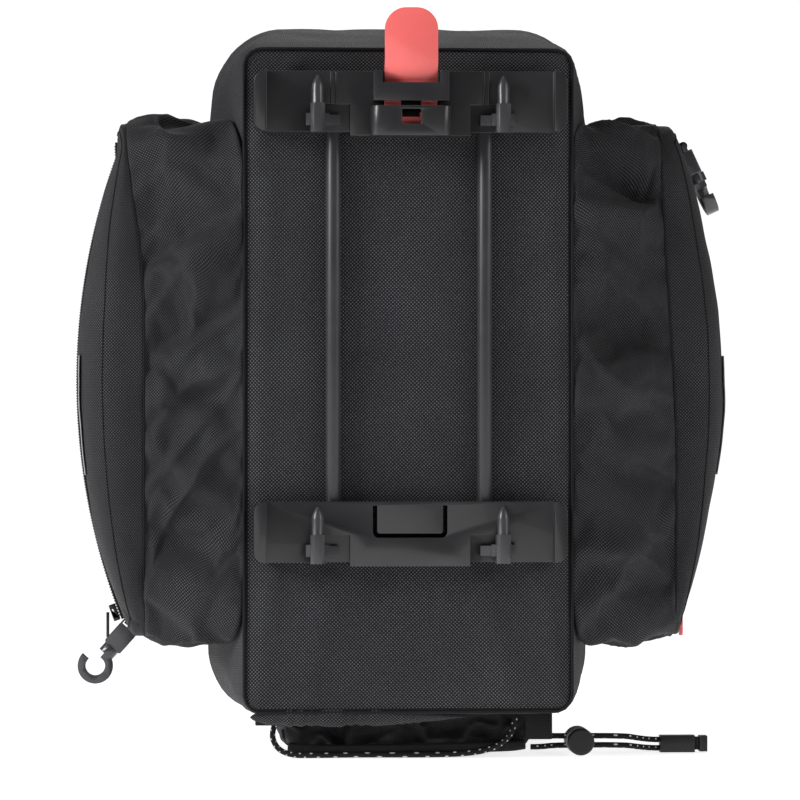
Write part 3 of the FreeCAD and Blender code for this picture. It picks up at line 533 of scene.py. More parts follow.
def ranged(tree, value, low, high, to_low, to_high):
    """A value moved from one range to another."""
    inputs = {"Value": value, "From Min": low, "From Max": high, "To Min": to_low, "To Max": to_high}
    return add(tree, "ShaderNodeMapRange", inputs).outputs["Result"]


def relief(tree, shader, height, distance, strength):
    """Makes the surface rise and fall with a height."""
    inputs = {"Height": height, "Distance": distance, "Strength": strength}
    bump = add(tree, "ShaderNodeBump", inputs)
    tree.links.new(bump.outputs["Normal"], shader.inputs["Normal"])


def plain(name, colour, rough, metallic=0.0, grain=900.0, depth=0.05 * MM, strength=0.25, spread=0.25,
          coat=0.0, gloss=0.35):
    """A moulded or metal finish: fine grain, and a colour and gloss that vary a little."""
    material, tree, shader = blank(name)
    patches = cloud(tree, 35.0, 4.0, 0.6)
    dark = [channel * (1 - spread) for channel in colour]
    light = [min(channel * (1 + spread), 1.0) for channel in colour]
    tree.links.new(mixed(tree, patches, dark, light), shader.inputs["Base Color"])
    tree.links.new(ranged(tree, patches, 0.3, 0.7, rough - 0.06, rough + 0.08), shader.inputs["Roughness"])
    shader.inputs["Metallic"].default_value = metallic
    shader.inputs["Specular IOR Level"].default_value = gloss
    shader.inputs["Coat Weight"].default_value = coat
    relief(tree, shader, cloud(tree, grain, 2.0), depth, strength)
    return material


def woven(name, colour, light, pitch, depth=0.30 * MM, sheen=0.03):
    """Coarse woven fabric: staggered rows of raised dots on a dark ground, with a little dust and wear. The
    dots' lighter colour is partly the weave's own two tones and partly a painted highlight for the light that
    the raised nubs catch.
    """
    material, tree, shader = blank(name)
    coordinates = add(tree, "ShaderNodeTexCoord").outputs["UV"]
    turns = 2 * math.pi / pitch
    scaled = add(tree, "ShaderNodeMapping", {"Vector": coordinates, "Scale": (turns, turns, turns)})
    parts = add(tree, "ShaderNodeSeparateXYZ", {0: scaled.outputs[0]})
    across = calc(tree, "SINE", parts.outputs["X"])
    along = calc(tree, "SINE", parts.outputs["Y"])
    dots = ranged(tree, calc(tree, "MULTIPLY", across, along), 0.02, 0.55, 0.0, 1.0)
    patches = cloud(tree, 18.0, 5.0, 0.6)
    threads = cloud(tree, 2600.0, 1.0)
    share = calc(tree, "MULTIPLY", dots, ranged(tree, patches, 0.3, 0.7, 0.55, 1.0))
    share = calc(tree, "MULTIPLY", share, ranged(tree, threads, 0.3, 0.7, 0.4, 1.0))
    # Partly a painted highlight: the dots take the lighter colour for the light that the raised nubs catch, on
    # top of the weave's own two tones.
    tree.links.new(mixed(tree, share, colour, light), shader.inputs["Base Color"])
    tree.links.new(ranged(tree, dots, 0.0, 1.0, 0.85, 0.52), shader.inputs["Roughness"])
    shader.inputs["Specular IOR Level"].default_value = 0.25
    shader.inputs["Sheen Weight"].default_value = sheen
    shader.inputs["Sheen Roughness"].default_value = 0.5
    height = calc(tree, "ADD", dots, calc(tree, "MULTIPLY", threads, 0.35))
    relief(tree, shader, height, depth, 0.8)
    return material


def ribbed(name, colour, light, pitch):
    """Webbing: narrow ribs crossed by finer threads."""
    material, tree, shader = blank(name)
    coordinates = add(tree, "ShaderNodeTexCoord").outputs["Object"]
    turns = 2 * math.pi / pitch
    scaled = add(tree, "ShaderNodeMapping", {"Vector": coordinates, "Scale": (turns, turns, turns)})
    parts = add(tree, "ShaderNodeSeparateXYZ", {0: scaled.outputs[0]})
    rib = calc(tree, "ADD", calc(tree, "SINE", parts.outputs["X"]), calc(tree, "SINE", parts.outputs["Y"]))
    rib = calc(tree, "ADD", rib, calc(tree, "SINE", parts.outputs["Z"]))
    share = ranged(tree, rib, -1.5, 1.5, 0.0, 1.0)
    tree.links.new(mixed(tree, share, colour, light), shader.inputs["Base Color"])
    shader.inputs["Roughness"].default_value = 0.75
    shader.inputs["Specular IOR Level"].default_value = 0.25
    shader.inputs["Sheen Weight"].default_value = 0.03
    height = calc(tree, "ADD", share, calc(tree, "MULTIPLY", cloud(tree, 2200.0, 1.0), 0.5))
    relief(tree, shader, height, 0.2 * MM, 0.7)
    return material


def braided(name, colour, fleck, length):
    """Elastic cord: a fine braid with a pale fleck at even steps along it."""
    material, tree, shader = blank(name)
    girth = math.pi * CORD_DIAMETER
    coordinates = add(tree, "ShaderNodeTexCoord").outputs["UV"]
    scaled = add(tree, "ShaderNodeMapping", {"Vector": coordinates, "Scale": (length, girth, 1.0)})
    parts = add(tree, "ShaderNodeSeparateXYZ", {0: scaled.outputs[0]})
    twist = calc(tree, "ADD", parts.outputs["X"], parts.outputs["Y"])
    back = calc(tree, "SUBTRACT", parts.outputs["X"], parts.outputs["Y"])
    turns = 2 * math.pi / (1.1 * MM)
    braid = calc(tree, "MULTIPLY", calc(tree, "SINE", calc(tree, "MULTIPLY", twist, turns)),
                 calc(tree, "SINE", calc(tree, "MULTIPLY", back, turns)))
    step = 2 * math.pi / (6.4 * MM)
    along = calc(tree, "SINE", calc(tree, "MULTIPLY", parts.outputs["X"], step))
    around = calc(tree, "SINE", calc(tree, "MULTIPLY", parts.outputs["Y"], 2 * math.pi / (girth / 2)))
    flecks = ranged(tree, calc(tree, "MULTIPLY", along, around), 0.72, 0.84, 0.0, 1.0)
    tree.links.new(mixed(tree, flecks, colour, fleck), shader.inputs["Base Color"])
    shader.inputs["Roughness"].default_value = 0.7
    shader.inputs["Specular IOR Level"].default_value = 0.25
    relief(tree, shader, braid, 0.15 * MM, 0.7)
    return material


def tinted(colour, share):
    """A colour made lighter or darker."""
    return [min(channel * share, 1.0) for channel in colour]


def finish_of(name):
    """The finish of that name, made when it is first wanted."""
    full_name = f"{name}_finish"
    if full_name in bpy.data.materials:
        return bpy.data.materials[full_name]
    look = settings()
    fabric = tuple(look.fabric)
    makers = {
        # The dots' lighter colours below are partly a painted highlight on the raised nubs of the weave.
        "body_fabric": lambda n: woven(n, fabric, tinted(fabric, 23.0), look.weave),
        "bag_fabric": lambda n: woven(n, fabric, tinted(fabric, 15.0), look.weave * 0.9, 0.24 * MM),
        # Painted shade: the pocket's fabric is darker, with dimmer dots, for the shade it sits in under the
        # bag's rear end.
        "pocket_fabric": lambda n: woven(n, tinted(fabric, 0.5), tinted(fabric, 6.0), look.weave * 0.8),
        "piping": lambda n: ribbed(n, tinted(fabric, 0.5), tinted(fabric, 1.1), 0.9 * MM),
        "webbing": lambda n: ribbed(n, tinted(fabric, 0.6), tinted(fabric, 1.8), 1.4 * MM),
        "thread": lambda n: plain(n, tinted(fabric, 2.4), 0.6),
        "board": lambda n: plain(n, (0.10, 0.10, 0.10), 0.6),
        "foam": lambda n: plain(n, (0.20, 0.20, 0.21), 0.85, grain=600.0, depth=0.2 * MM, strength=0.6),
        "zip": lambda n: ribbed(n, tinted(fabric, 0.6), tinted(fabric, 1.5), 0.7 * MM),
        "zip_coil": lambda n: plain(n, tinted(fabric, 1.6), 0.4),
        "adapter_plastic": lambda n: plain(n, tuple(look.plastic), 0.34, grain=1500.0, depth=0.05 * MM,
                                           coat=0.15, gloss=0.5),
        "peg_plastic": lambda n: plain(n, tinted(look.plastic, 2.2), 0.30, grain=1200.0, depth=0.02 * MM,
                                       gloss=0.6),
        "rod_metal": lambda n: plain(n, tinted(look.plastic, 2.7), 0.38, 0.4, depth=0.01 * MM),
        "lever_red": lambda n: plain(n, tuple(look.red), 0.38, spread=0.05, depth=0.01 * MM, coat=0.2),
        "spring_steel": lambda n: plain(n, (0.03, 0.03, 0.03), 0.4, 1.0, depth=0.01 * MM),
        "steel": lambda n: plain(n, (0.55, 0.55, 0.56), 0.28, 1.0, depth=0.01 * MM, spread=0.08),
        "elastic": lambda n: braided(n, tinted(fabric, 0.8), FLECK, DRAWCORD_SPAN),
        "elastic_short": lambda n: braided(n, tinted(fabric, 0.8), FLECK, STRAND_SPAN),
        "hook_plastic": lambda n: plain(n, (0.045, 0.045, 0.050), 0.25, depth=0.01 * MM, gloss=0.7),
        # Painted reflection: the barrel is black gloss plastic, and this pale lavender grey stands for the white
        # surround that it reflects.
        "lock_barrel": lambda n: plain(n, (0.25, 0.25, 0.27), 0.45),
        "lock_button": lambda n: plain(n, (0.012, 0.012, 0.014), 0.35),
        "pull_red": lambda n: plain(n, tinted(look.red, 0.95), 0.35, spread=0.05, depth=0.01 * MM),
        "pull_black": lambda n: plain(n, (0.015, 0.015, 0.016), 0.4),
        "strip": lambda n: plain(n, (0.42, 0.43, 0.45), 0.35, grain=2500.0, spread=0.1),
    }
    return makers[name](full_name)


# ---- stage ----
def make_camera():
    """The camera, level and a little to the left of the base's middle."""
    data = bpy.data.cameras.new("camera")
    data.lens = 200
    data.sensor_width = 36
    camera = bpy.data.objects.new("camera", data)
    bpy.context.scene.collection.objects.link(camera)
    away = Vector((-math.sin(CAMERA_TURN), -math.cos(CAMERA_TURN), 0))
    camera.location = CAMERA_AIM + CAMERA_DISTANCE * away
    camera.rotation_euler = (CAMERA_AIM - camera.location).to_track_quat("-Z", "Y").to_euler()
    bpy.context.scene.camera = camera


def make_light(name, place, size, power):
    """A square soft light that points at the bag."""
    data = bpy.data.lights.new(name, "AREA")
    data.size = size
    data.energy = power
    light = bpy.data.objects.new(name, data)
    light.location = place
    light.rotation_euler = (Vector((0, 0, 0.2)) - light.location).to_track_quat("-Z", "Y").to_euler()
    bpy.context.scene.collection.objects.link(light)


def make_floor():
    """A pale floor, just large enough for the shadows."""
    bm = bmesh.new()
    bmesh.ops.create_grid(bm, x_segments=1, y_segments=1, size=FLOOR_HALF)
    mesh = bpy.data.meshes.new("floor")
    bm.to_mesh(mesh)
    bm.free()
    floor = bpy.data.objects.new("floor", mesh)
    bpy.context.scene.collection.objects.link(floor)
    material, tree, shader = blank("floor")
    shader.inputs["Base Color"].default_value = (*settings().floor, 1)
    shader.inputs["Roughness"].default_value = 0.35
    shader.inputs["Specular IOR Level"].default_value = 0.2
    shader.inputs["Emission Color"].default_value = (1, 1, 1, 1)
    shader.inputs["Emission Strength"].default_value = FLOOR_GLOW
    mesh.materials.append(material)


def make_world():
    """A white surround."""
    world = bpy.data.worlds.new("surround")
    world.use_nodes = True
    tree = world.node_tree
    seen = add(tree, "ShaderNodeLightPath").outputs["Is Camera Ray"]
    strength = ranged(tree, seen, 0.0, 1.0, settings().surround, 1.05)
    tree.nodes["Background"].inputs["Color"].default_value = (1, 1, 1, 1)
    tree.links.new(strength, tree.nodes["Background"].inputs["Strength"])
    bpy.context.scene.world = world
    bpy.context.scene.view_settings.view_transform = "Standard"


# ---- cords ----
def cord_curve(name, points, node, finish):
    """A smooth line through a route's points, as thick as the cord."""
    data = bpy.data.curves.new(name, "CURVE")
    data.dimensions = "3D"
    data.bevel_depth = CORD_DIAMETER / 2
    data.bevel_resolution = 5
    data.resolution_u = 16
    data.use_fill_caps = True
    spline = data.splines.new("NURBS")
    spline.points.add(len(points) - 1)
    for target, point in zip(spline.points, points):
        target.co = (*point, 1)
    spline.order_u = 3
    spline.use_endpoint_u = True
    obj = bpy.data.objects.new(name, data)
    bpy.context.scene.collection.objects.link(obj)
    return dressed(obj, [node], finish=finish_of(finish))


# ---- the body ----
def bowed(y, at_base, at_belly, at_rim):
    """A size that changes with the depth of the body, on the curve through three values of it."""
    a, b, c = BASE_Y, BELLY_Y, RIM_Y
    return (at_base * (y - b) * (y - c) / ((a - b) * (a - c))
            + at_belly * (y - a) * (y - c) / ((b - a) * (b - c))
            + at_rim * (y - a) * (y - b) / ((c - a) * (c - b)))


def body_point(share, y, out=0.0):
    """The point of the body's side a share of the way round, at a depth, and that far outside it."""
    half = bowed(y, BASE_HALF, BELLY_HALF - 2.5 * MM, RIM_HIGH.x) + out
    low = bowed(y, BASE_Z[0], BELLY_Z[0], RIM_LOW.z) - out
    high = bowed(y, BASE_Z[1], BELLY_Z[1], RIM_HIGH.z) + out
    corner = between(BASE_CORNER, BELLY_CORNER, smooth((y - BASE_Y) / (60 * MM)))
    x, z = rounded_rectangle(share, 2 * half, high - low, corner + out)
    z += (low + high) / 2
    bulge = math.sin(math.pi * (y - BASE_Y) / (RIM_Y - BASE_Y)) if BASE_Y < y < RIM_Y else 0.0
    return Vector((x * (1 - 0.045 * bulge * smooth((z - 325 * MM) / (50 * MM))), y, z))


def wall_point(u, v):
    """The same with the waves of soft, foam-backed fabric, which die out at both seams."""
    y = between(BASE_Y, RIM_Y, v)
    point = body_point(u, y)
    beside = smooth((point.z - GUSSET_Z[0]) / (25 * MM)) * smooth((GUSSET_Z[1] - point.z) / (25 * MM))
    point.x -= math.copysign(2.4 * MM, point.x) * beside * smooth((abs(point.x) - 80 * MM) / (15 * MM))
    held = min(1.0, 6 * v, 6 * (1 - v))
    proud = ripple(point, 60 * MM, 2.4 * MM, 1.0) + ripple(point, 22 * MM, 1.1 * MM, 2.0)
    middle = Vector((0, y, (BASE_Z[0] + BASE_Z[1]) / 2))
    return point + (point - middle).normalized() * proud * held


def make_walls():
    """The four sewn walls between the base and the zip."""
    middle = Vector((0, 0, 0.2))
    bm = mapped(220, 60, wall_point, middle)
    walls = piece("body_walls", bm, ["front_wall", "rear_wall", "left_wall", "right_wall"])
    thicken(walls, WALL)


def base_point(u, v):
    """A point of the base's padded face: drawn in at its seam, and pulled into soft folds."""
    middle = (BASE_Z[0] + BASE_Z[1]) / 2
    half_z = (BASE_Z[1] - BASE_Z[0]) / 2
    x, z = corner_rounded(between(-BASE_HALF, BASE_HALF, u), between(-half_z, half_z, v),
                          BASE_HALF, half_z, BASE_CORNER)
    edge = min(BASE_HALF - abs(x), half_z - abs(z))
    proud = 2.2 * MM * (1 - math.exp(-edge / (7 * MM))) - 0.8 * MM
    here = Vector((x, 0, z + middle))
    for start, end, width, height in BASE_FOLDS:
        soft = fold(x / MM, (z + middle) / MM, start, end, width, height)
        proud += BASE_FOLD_DEPTH * smooth(edge / (9 * MM)) * soft * MM
    proud += smooth(edge / (9 * MM)) * ripple(here, 30 * MM, 0.5 * MM, 3.0)
    return Vector((x, BASE_Y - proud, z + middle))


def piping(name, line, up, scale, steps, sides, body, slot):
    """A closed run of piping along a line, as thick as the setting times a scale."""
    thick = scale * settings().piping
    bm = swept(line, up, thick, thick, steps, sides, True)
    piece(name, bm, body=body, slot=slot, finish=finish_of("piping"))


def base_seam(share):
    """The line of the seam between the base and the walls."""
    return body_point(share, BASE_Y - 0.3 * MM, 0.2 * MM)


def gather_point(u, v):
    """A point of the gathered fabric edge under the base's rear seam: u runs along it and v round it."""
    x = between(-BASE_HALF + 3 * MM, 30 * MM, u)
    ends = min(1.0, 10 * u, 2.5 * (1 - u)) ** 0.6
    here = Vector((x, 0, 0))
    gathers = 1 + 0.08 * math.sin(x / (1.3 * MM) + ripple(here, 14 * MM, 9.0)) + ripple(here, 16 * MM, 0.5, 2.0)
    size = 4.4 * MM * ends * gathers
    turn = 2 * math.pi * v
    inset = 2.6 * MM
    return Vector((x, BASE_Y + inset - 0.8 * size * math.sin(turn), BASE_Z[0] - inset + size * math.cos(turn)))


def make_base():
    """The base's face, its piping and the gathered edge below it."""
    bm = mapped(150, 18, gather_point, Vector((0, BASE_Y + 3 * MM, BASE_Z[0] - 2.6 * MM)))
    piece("base_gathers", bm, body="root", slot="body_fabric", finish=finish_of("body_fabric"))
    bm = mapped(110, 220, base_point, Vector((0, 0.1, 0.2)))
    face = piece("base_face", bm, ["base_panel"])
    thicken(face, 2 * MM)
    piping("base_piping", base_seam, Y_AXIS, 2, 260, 10, "root", "webbing")


# ---- the lid and the main zip ----
def lid_point(along_x, along_z, height, out=0.0):
    """A point of the lid's crowned top, from its place across and along it and its height from 0 to 1."""
    half_x = LID_HIGH.x
    half_z = (LID_HIGH.z - LID_LOW.z) / 2
    x, z = corner_rounded(along_x * half_x, along_z * half_z, half_x, half_z, RIM_CORNER)
    crown = 2.5 * MM * (1 - along_x ** 2) * (1 - along_z ** 2)
    y = between(LID_LOW.y, LID_HIGH.y, height) + crown + out
    point = Vector((x, y, z + (LID_HIGH.z + LID_LOW.z) / 2))
    return point + Y_AXIS * height * ripple(point, 45 * MM, 0.9 * MM, 4.0)


def make_lid():
    """The lid's shell, its edge and top seams, and the fabric hinge along the front end."""
    deep = LID_HIGH.y - LID_LOW.y
    across = arch(LID_SHARP, LID_HIGH.x, deep)
    along = arch(LID_END_SHARP, (LID_HIGH.z - LID_LOW.z) / 2, deep)

    def place(u, v):
        """A point of the lid."""
        x, up_x = across(u)
        z, up_z = along(v)
        return lid_point(x, z, up_x * up_z)
    bm = mapped(96, 150, place, Vector((0, 0, 0.2)))
    shell = piece("lid_cover", bm, ["lid_shell"])
    thicken(shell, 3 * MM)

    def seam(share):
        """The line of the seam on the lid's shoulder."""
        x, z = inset_ring(share, LID_HIGH.x, (LID_HIGH.z - LID_LOW.z) / 2, 7 * MM, RIM_CORNER)
        up_x = (1 - abs(x) ** LID_SHARP) ** (1 / LID_SHARP)
        up_z = (1 - abs(z) ** LID_END_SHARP) ** (1 / LID_END_SHARP)
        return lid_point(x, z, up_x * up_z, 0.3 * MM)
    piping("lid_piping", seam, Y_AXIS, 2, 240, 10, "lid", "webbing")
    make_hinge()


def make_hinge():
    """A strip of fabric over the line that the lid turns on."""
    top = max(RIM_HIGH.z, LID_ZIP_HIGH.z) + 0.5 * MM
    half = RIM_HIGH.x - RIM_CORNER

    def place(u, v):
        """A point of the strip."""
        return Vector((between(-half, half, u), between(RIM_Y - 4 * MM, LID_ZIP_HIGH.y + 4 * MM, v), top))
    bm = mapped(40, 14, place, Vector((0, 0.08, 0.3)))
    strip = piece("lid_hinge_strip", bm, slot="body_fabric", blended=True)
    apply_modifiers(thicken(strip, 0.9 * MM, 1.0))
    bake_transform(strip)


def rim_point(share, y, inset=0.0):
    """A point of the zip's track, round the body's rim."""
    width = 2 * (RIM_HIGH.x - inset)
    height = RIM_HIGH.z - RIM_LOW.z - 2 * inset
    x, z = rounded_rectangle(share, width, height, RIM_CORNER - inset)
    return Vector((x, y, z + (RIM_LOW.z + RIM_HIGH.z) / 2))


def make_tape(name, node, low, high):
    """One half of the main zip's tape, with a turned hem."""
    def place(u, v):
        """A point of the tape."""
        hem = 0.5 * MM * math.cos(2 * math.pi * v)
        return rim_point(u, between(low, high, v), 0.8 * MM - hem)
    tape = piece(name, mapped(220, 8, place, Vector((0, (low + high) / 2, 0.2))), [node])
    thicken(tape, 1.4 * MM)


def make_coil(name, path, start, end, count, body):
    """A row of zip teeth between two shares of a path."""
    bm = bmesh.new()
    for i in range(count):
        share = between(start, end, (i + 0.5) / count)
        here = path(share)
        ahead = (path(share + 0.0005) - path(share - 0.0005)).normalized()
        turn = ahead.to_track_quat("X", "Y").to_matrix().to_4x4()
        size = Matrix.Diagonal((0.9 * MM, 1.9 * MM, 1.5 * MM, 1.0))
        bmesh.ops.create_cube(bm, size=1.0, matrix=Matrix.Translation(here) @ turn @ size)
    bmesh.ops.bevel(bm, geom=bm.edges[:], offset=0.25 * MM, segments=1, affect="EDGES", profile=0.5,
                    material=-1)
    return piece(name, bm, body=body, slot="zip", finish=finish_of("zip_coil"))


def make_main_zip():
    """Both halves of the main zip, with teeth everywhere but along the hinge."""
    make_tape("body_tape", "body_zip_tape", RIM_LOW.y, RIM_HIGH.y)
    make_tape("lid_tape", "lid_zip_tape", LID_ZIP_LOW.y, LID_ZIP_HIGH.y)
    reach = 0.425
    for name, y, body in (("body_teeth", RIM_HIGH.y - 0.9 * MM, "root"),
                          ("lid_teeth", LID_ZIP_LOW.y + 0.9 * MM, "lid")):
        def track(share, y=y):
            """The line that the teeth follow."""
            return rim_point(share, y, -0.3 * MM)
        make_coil(name, track, -reach, reach, 520, body)


def make_handle():
    """The webbing handle on the lid, its two patches and their stitches."""
    low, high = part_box("carry_handle")
    half = (high.x - low.x) / 2
    top = high.y - 1.6 * MM
    foot = LID_HIGH.y + 2.6 * MM
    middle = (low.z + high.z) / 2
    points = [(0, foot, low.z), (0, foot, low.z + 16 * MM), (0, top, low.z + 34 * MM),
              (0, top + 0.4 * MM, middle), (0, top, high.z - 34 * MM), (0, foot, high.z - 16 * MM),
              (0, foot, high.z)]
    piece("handle_webbing", swept(through(points), X_AXIS, 2 * half, 3 * MM, 90, 16), ["carry_handle"])
    low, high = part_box("handle_patches")
    for name, z in (("rear", low.z), ("front", high.z)):
        way = 1 if name == "rear" else -1
        z_far = z + way * 26 * MM
        flat = through([(0, LID_HIGH.y + 3.6 * MM, z), (0, LID_HIGH.y + 4.6 * MM, (z + z_far) / 2),
                        (0, LID_HIGH.y + 3.6 * MM, z_far)])
        piece(f"handle_patch_{name}", swept(flat, X_AXIS, high.x - low.x, 2 * MM, 16, 16), ["handle_patches"])
        for side in (-1, 1):
            x = side * 0.4 * (high.x - low.x)
            row = through([(x, LID_HIGH.y + 5.2 * MM, z + way * 3 * MM),
                           (x, LID_HIGH.y + 5.8 * MM, z_far - way * 3 * MM)])
            edge = "left" if side < 0 else "right"
            stitches(f"patch_stitches_{name}_{edge}", row, 20 * MM, 3.2 * MM, "lid")


# ---- the side bags ----
def panel_rim(way, z):
    """How far out the seam between a side bag's gusset and its panel is at a height: it leans."""
    if way < 0:
        return between(136.5 * MM, 146 * MM, smooth((z - 235 * MM) / (95 * MM)))
    return between(142 * MM, 134 * MM, smooth((z - 150 * MM) / (180 * MM)))


def panel_out(way, z):
    """How far out a side bag's outer face is at a height, on its arc."""
    arc = BAG_OUT - BAG_ARC + math.sqrt(max(BAG_ARC ** 2 - (z - BAG_MID_Z) ** 2, 0.0))
    return max(arc, panel_rim(way, z) + 5 * MM)


def panel_point(way, along_y, along_z, height, out=0.0):
    """A point of a side bag's padded panel, from its place across and along it and its height from 0 to 1."""
    y, z = corner_rounded(along_y * BAG_HALF_Y, along_z * BAG_HALF_Z, BAG_HALF_Y, BAG_HALF_Z, BAG_CORNER)
    y += BAG_MID_Y
    z += BAG_MID_Z
    rim = panel_rim(way, z)
    x = rim + (panel_out(way, z) - rim + out) * height
    point = Vector((x, y, z))
    waves = ripple(point, 50 * MM, 1.6 * MM, 5.0 + way)
    point.x += height * waves + height * ripple(point, 18 * MM, 0.5 * MM, 7.0)
    sideways = math.copysign(smooth(1.4 * height * (1 - height) * 4), along_y)
    point.y += sideways * ripple(point, 28 * MM, 1.2 * MM, 6.0)
    point.x *= way
    return point


def panel_height(along_y, along_z):
    """The share of its full height that a side bag's panel has at a place on it."""
    across = max(1 - abs(along_y) ** PANEL_SHARP, 0.0) ** (1 / PANEL_SHARP)
    along = max(1 - abs(along_z) ** PANEL_END_SHARP, 0.0) ** (1 / PANEL_END_SHARP)
    return across * along


def make_panel(side, way):
    """A side bag's outer panel, with its rim and shoulder seams and a plain reflective strip."""
    deep = BAG_OUT - BAG_RIM_X
    across = arch(PANEL_SHARP, BAG_HALF_Y, deep)
    along = arch(PANEL_END_SHARP, BAG_HALF_Z, deep / 3)

    def place(u, v):
        """A point of the panel."""
        y, up_y = across(u)
        z, up_z = along(v)
        return panel_point(way, y, z, up_y * up_z)
    bm = mapped(90, 150, place, Vector((way * 0.1, BAG_MID_Y, BAG_MID_Z)))
    panel = piece(f"{side}_bag_cover", bm, [f"{side}_bag_panel"])
    thicken(panel, 2.5 * MM)

    def shoulder(share):
        """The line of the shoulder seam."""
        y, z = inset_ring(share, BAG_HALF_Y, BAG_HALF_Z, 4.0 * MM, BAG_CORNER)
        return panel_point(way, y, z, panel_height(y, z), 0.2 * MM)
    piping(f"{side}_bag_shoulder_seam", shoulder, X_AXIS, 1.1, 220, 8, f"{side}_bag", "bag_fabric")

    def rim(share):
        """The line of the seam between the panel and the gusset."""
        y, z = rounded_rectangle(share, 2 * BAG_HALF_Y, 2 * BAG_HALF_Z, BAG_CORNER)
        return Vector((way * panel_rim(way, z + BAG_MID_Z), y + BAG_MID_Y, z + BAG_MID_Z))
    piping(f"{side}_bag_rim_seam", rim, X_AXIS, 1, 220, 8, f"{side}_bag", "bag_fabric")

    def strip(share):
        """The middle line of the reflective strip."""
        z = between(147 * MM, 210 * MM, share)
        along_z = (z - BAG_MID_Z) / BAG_HALF_Z
        return panel_point(way, -0.55, along_z, panel_height(-0.55, along_z), 0.5 * MM)
    piece(f"{side}_bag_strip", swept(strip, Y_AXIS, 12 * MM, 0.8 * MM, 40, 12),
          body=f"{side}_bag", slot="bag_fabric", finish=finish_of("strip"))


def gusset_point(side, way, u, v):
    """A point of a side bag's gusset: u goes round it and v from the body out to the panel."""
    low_y, high_y = GUSSET_Y
    low_z, high_z = GUSSET_Z
    y, z = rounded_rectangle(u, high_y - low_y, high_z - low_z, GUSSET_CORNER)
    y += (low_y + high_y) / 2
    z += (low_z + high_z) / 2
    inner = Vector((bowed(y, BASE_HALF, BELLY_HALF, RIM_HIGH.x) + 0.3 * MM, y, z))
    y, z = rounded_rectangle(u, 2 * BAG_HALF_Y, 2 * BAG_HALF_Z, BAG_CORNER)
    outer = Vector((panel_rim(way, z + BAG_MID_Z), y + BAG_MID_Y, z + BAG_MID_Z))
    point = inner.lerp(outer, v)
    away = Vector((0, y, z * BAG_HALF_Y / BAG_HALF_Z)).normalized()
    loose = math.sin(math.pi * v)
    proud = 2.5 * MM * loose
    for at_body, at_panel, width, depth in GUSSET_FOLDS[side]:
        off = (u - between(at_body, at_panel, v) + 0.5) % 1 - 0.5
        proud += GUSSET_FOLD_DEPTH * depth * MM * loose * math.exp(-(off / width) ** 2)
    slanted = Vector((0.8 * point.x + 0.6 * point.z, point.y, 0.3 * (0.8 * point.z - 0.6 * point.x)))
    proud += loose * crumple(slanted, 27 * MM, 6.5 * MM, 8.0 + way)
    point += away * proud
    point.x *= way
    return point


def make_gusset(side, way):
    """A side bag's slack gusset, settled as cloth into folds."""
    def place(u, v):
        """A point of the gusset."""
        return gusset_point(side, way, u, v)
    bm = mapped(240, 26, place, Vector((way * 0.11, BAG_MID_Y, BAG_MID_Z)))
    gusset = piece(f"{side}_bag_gusset_fabric", bm, [f"{side}_bag_gusset"], blended=True)

    def held(point):
        """Whether a point is in one of the two seams."""
        inner = bowed(point.y, BASE_HALF, BELLY_HALF, RIM_HIGH.x) + 0.6 * MM
        return abs(point.x) < inner or abs(point.x) > panel_rim(way, point.z) - 0.6 * MM
    settle(gusset, held, settings().slack, 0.3, 24, 8 * MM)
    apply_modifiers(refine(thicken(gusset, 1.2 * MM)))
    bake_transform(gusset)


def make_bag_zip(side, way):
    """The zip along the outer face of a side bag: its tape and its teeth."""
    low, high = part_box(f"{side}_bag_zip")
    middle = (low.y + high.y) / 2
    along_y = (middle - BAG_MID_Y) / BAG_HALF_Y

    def path(share):
        """The zip's middle line."""
        z = between(low.z + 2 * MM, high.z - 2 * MM, min(max(share, 0.0), 1.0))
        return Vector((way * (panel_out(way, z) + 0.2 * MM), middle, z))
    tape = swept(path, Y_AXIS, 13 * MM, 1.6 * MM, 120, 12)
    piece(f"{side}_bag_tape", tape, [f"{side}_bag_zip"])
    make_coil(f"{side}_bag_teeth", lambda share: path(share) + Vector((way * 0.3 * MM, 0, 0)),
              0.005, 0.995, 170, f"{side}_bag")


# ---- the rear pocket ----
def pocket_point(along_x, along_y, height):
    """A point of the crumpled pocket under the body's rear end."""
    middle = (POCKET_LOW.x + POCKET_HIGH.x) / 2
    half = (POCKET_HIGH.x - POCKET_LOW.x) / 2
    deep = POCKET_HIGH.y - POCKET_LOW.y
    x = middle + along_x * half
    y = POCKET_LOW.y + (along_y + 1) * deep
    top = min(POCKET_TOP, bowed(y, BASE_Z[0], BELLY_Z[0], RIM_LOW.z) + 0.8 * MM)
    z = between(top, 0.6 * MM, height)
    point = Vector((x, y, z))
    wall = 4 * height * (1 - height)
    if along_y < -0.9:
        folds = crumple(point, 14 * MM, 6.5 * MM, 9.0) + crumple(point, 7 * MM, 1.6 * MM, 13.0)
        point.y -= wall * (folds - 4.2 * MM)
    point.x += wall * ripple(point, 16 * MM, 1.5 * MM, 11.0)
    point.z += height * (0.5 + 0.5 * ripple(point, 14 * MM, 1.0, 12.0)) * 1.0 * MM
    return point


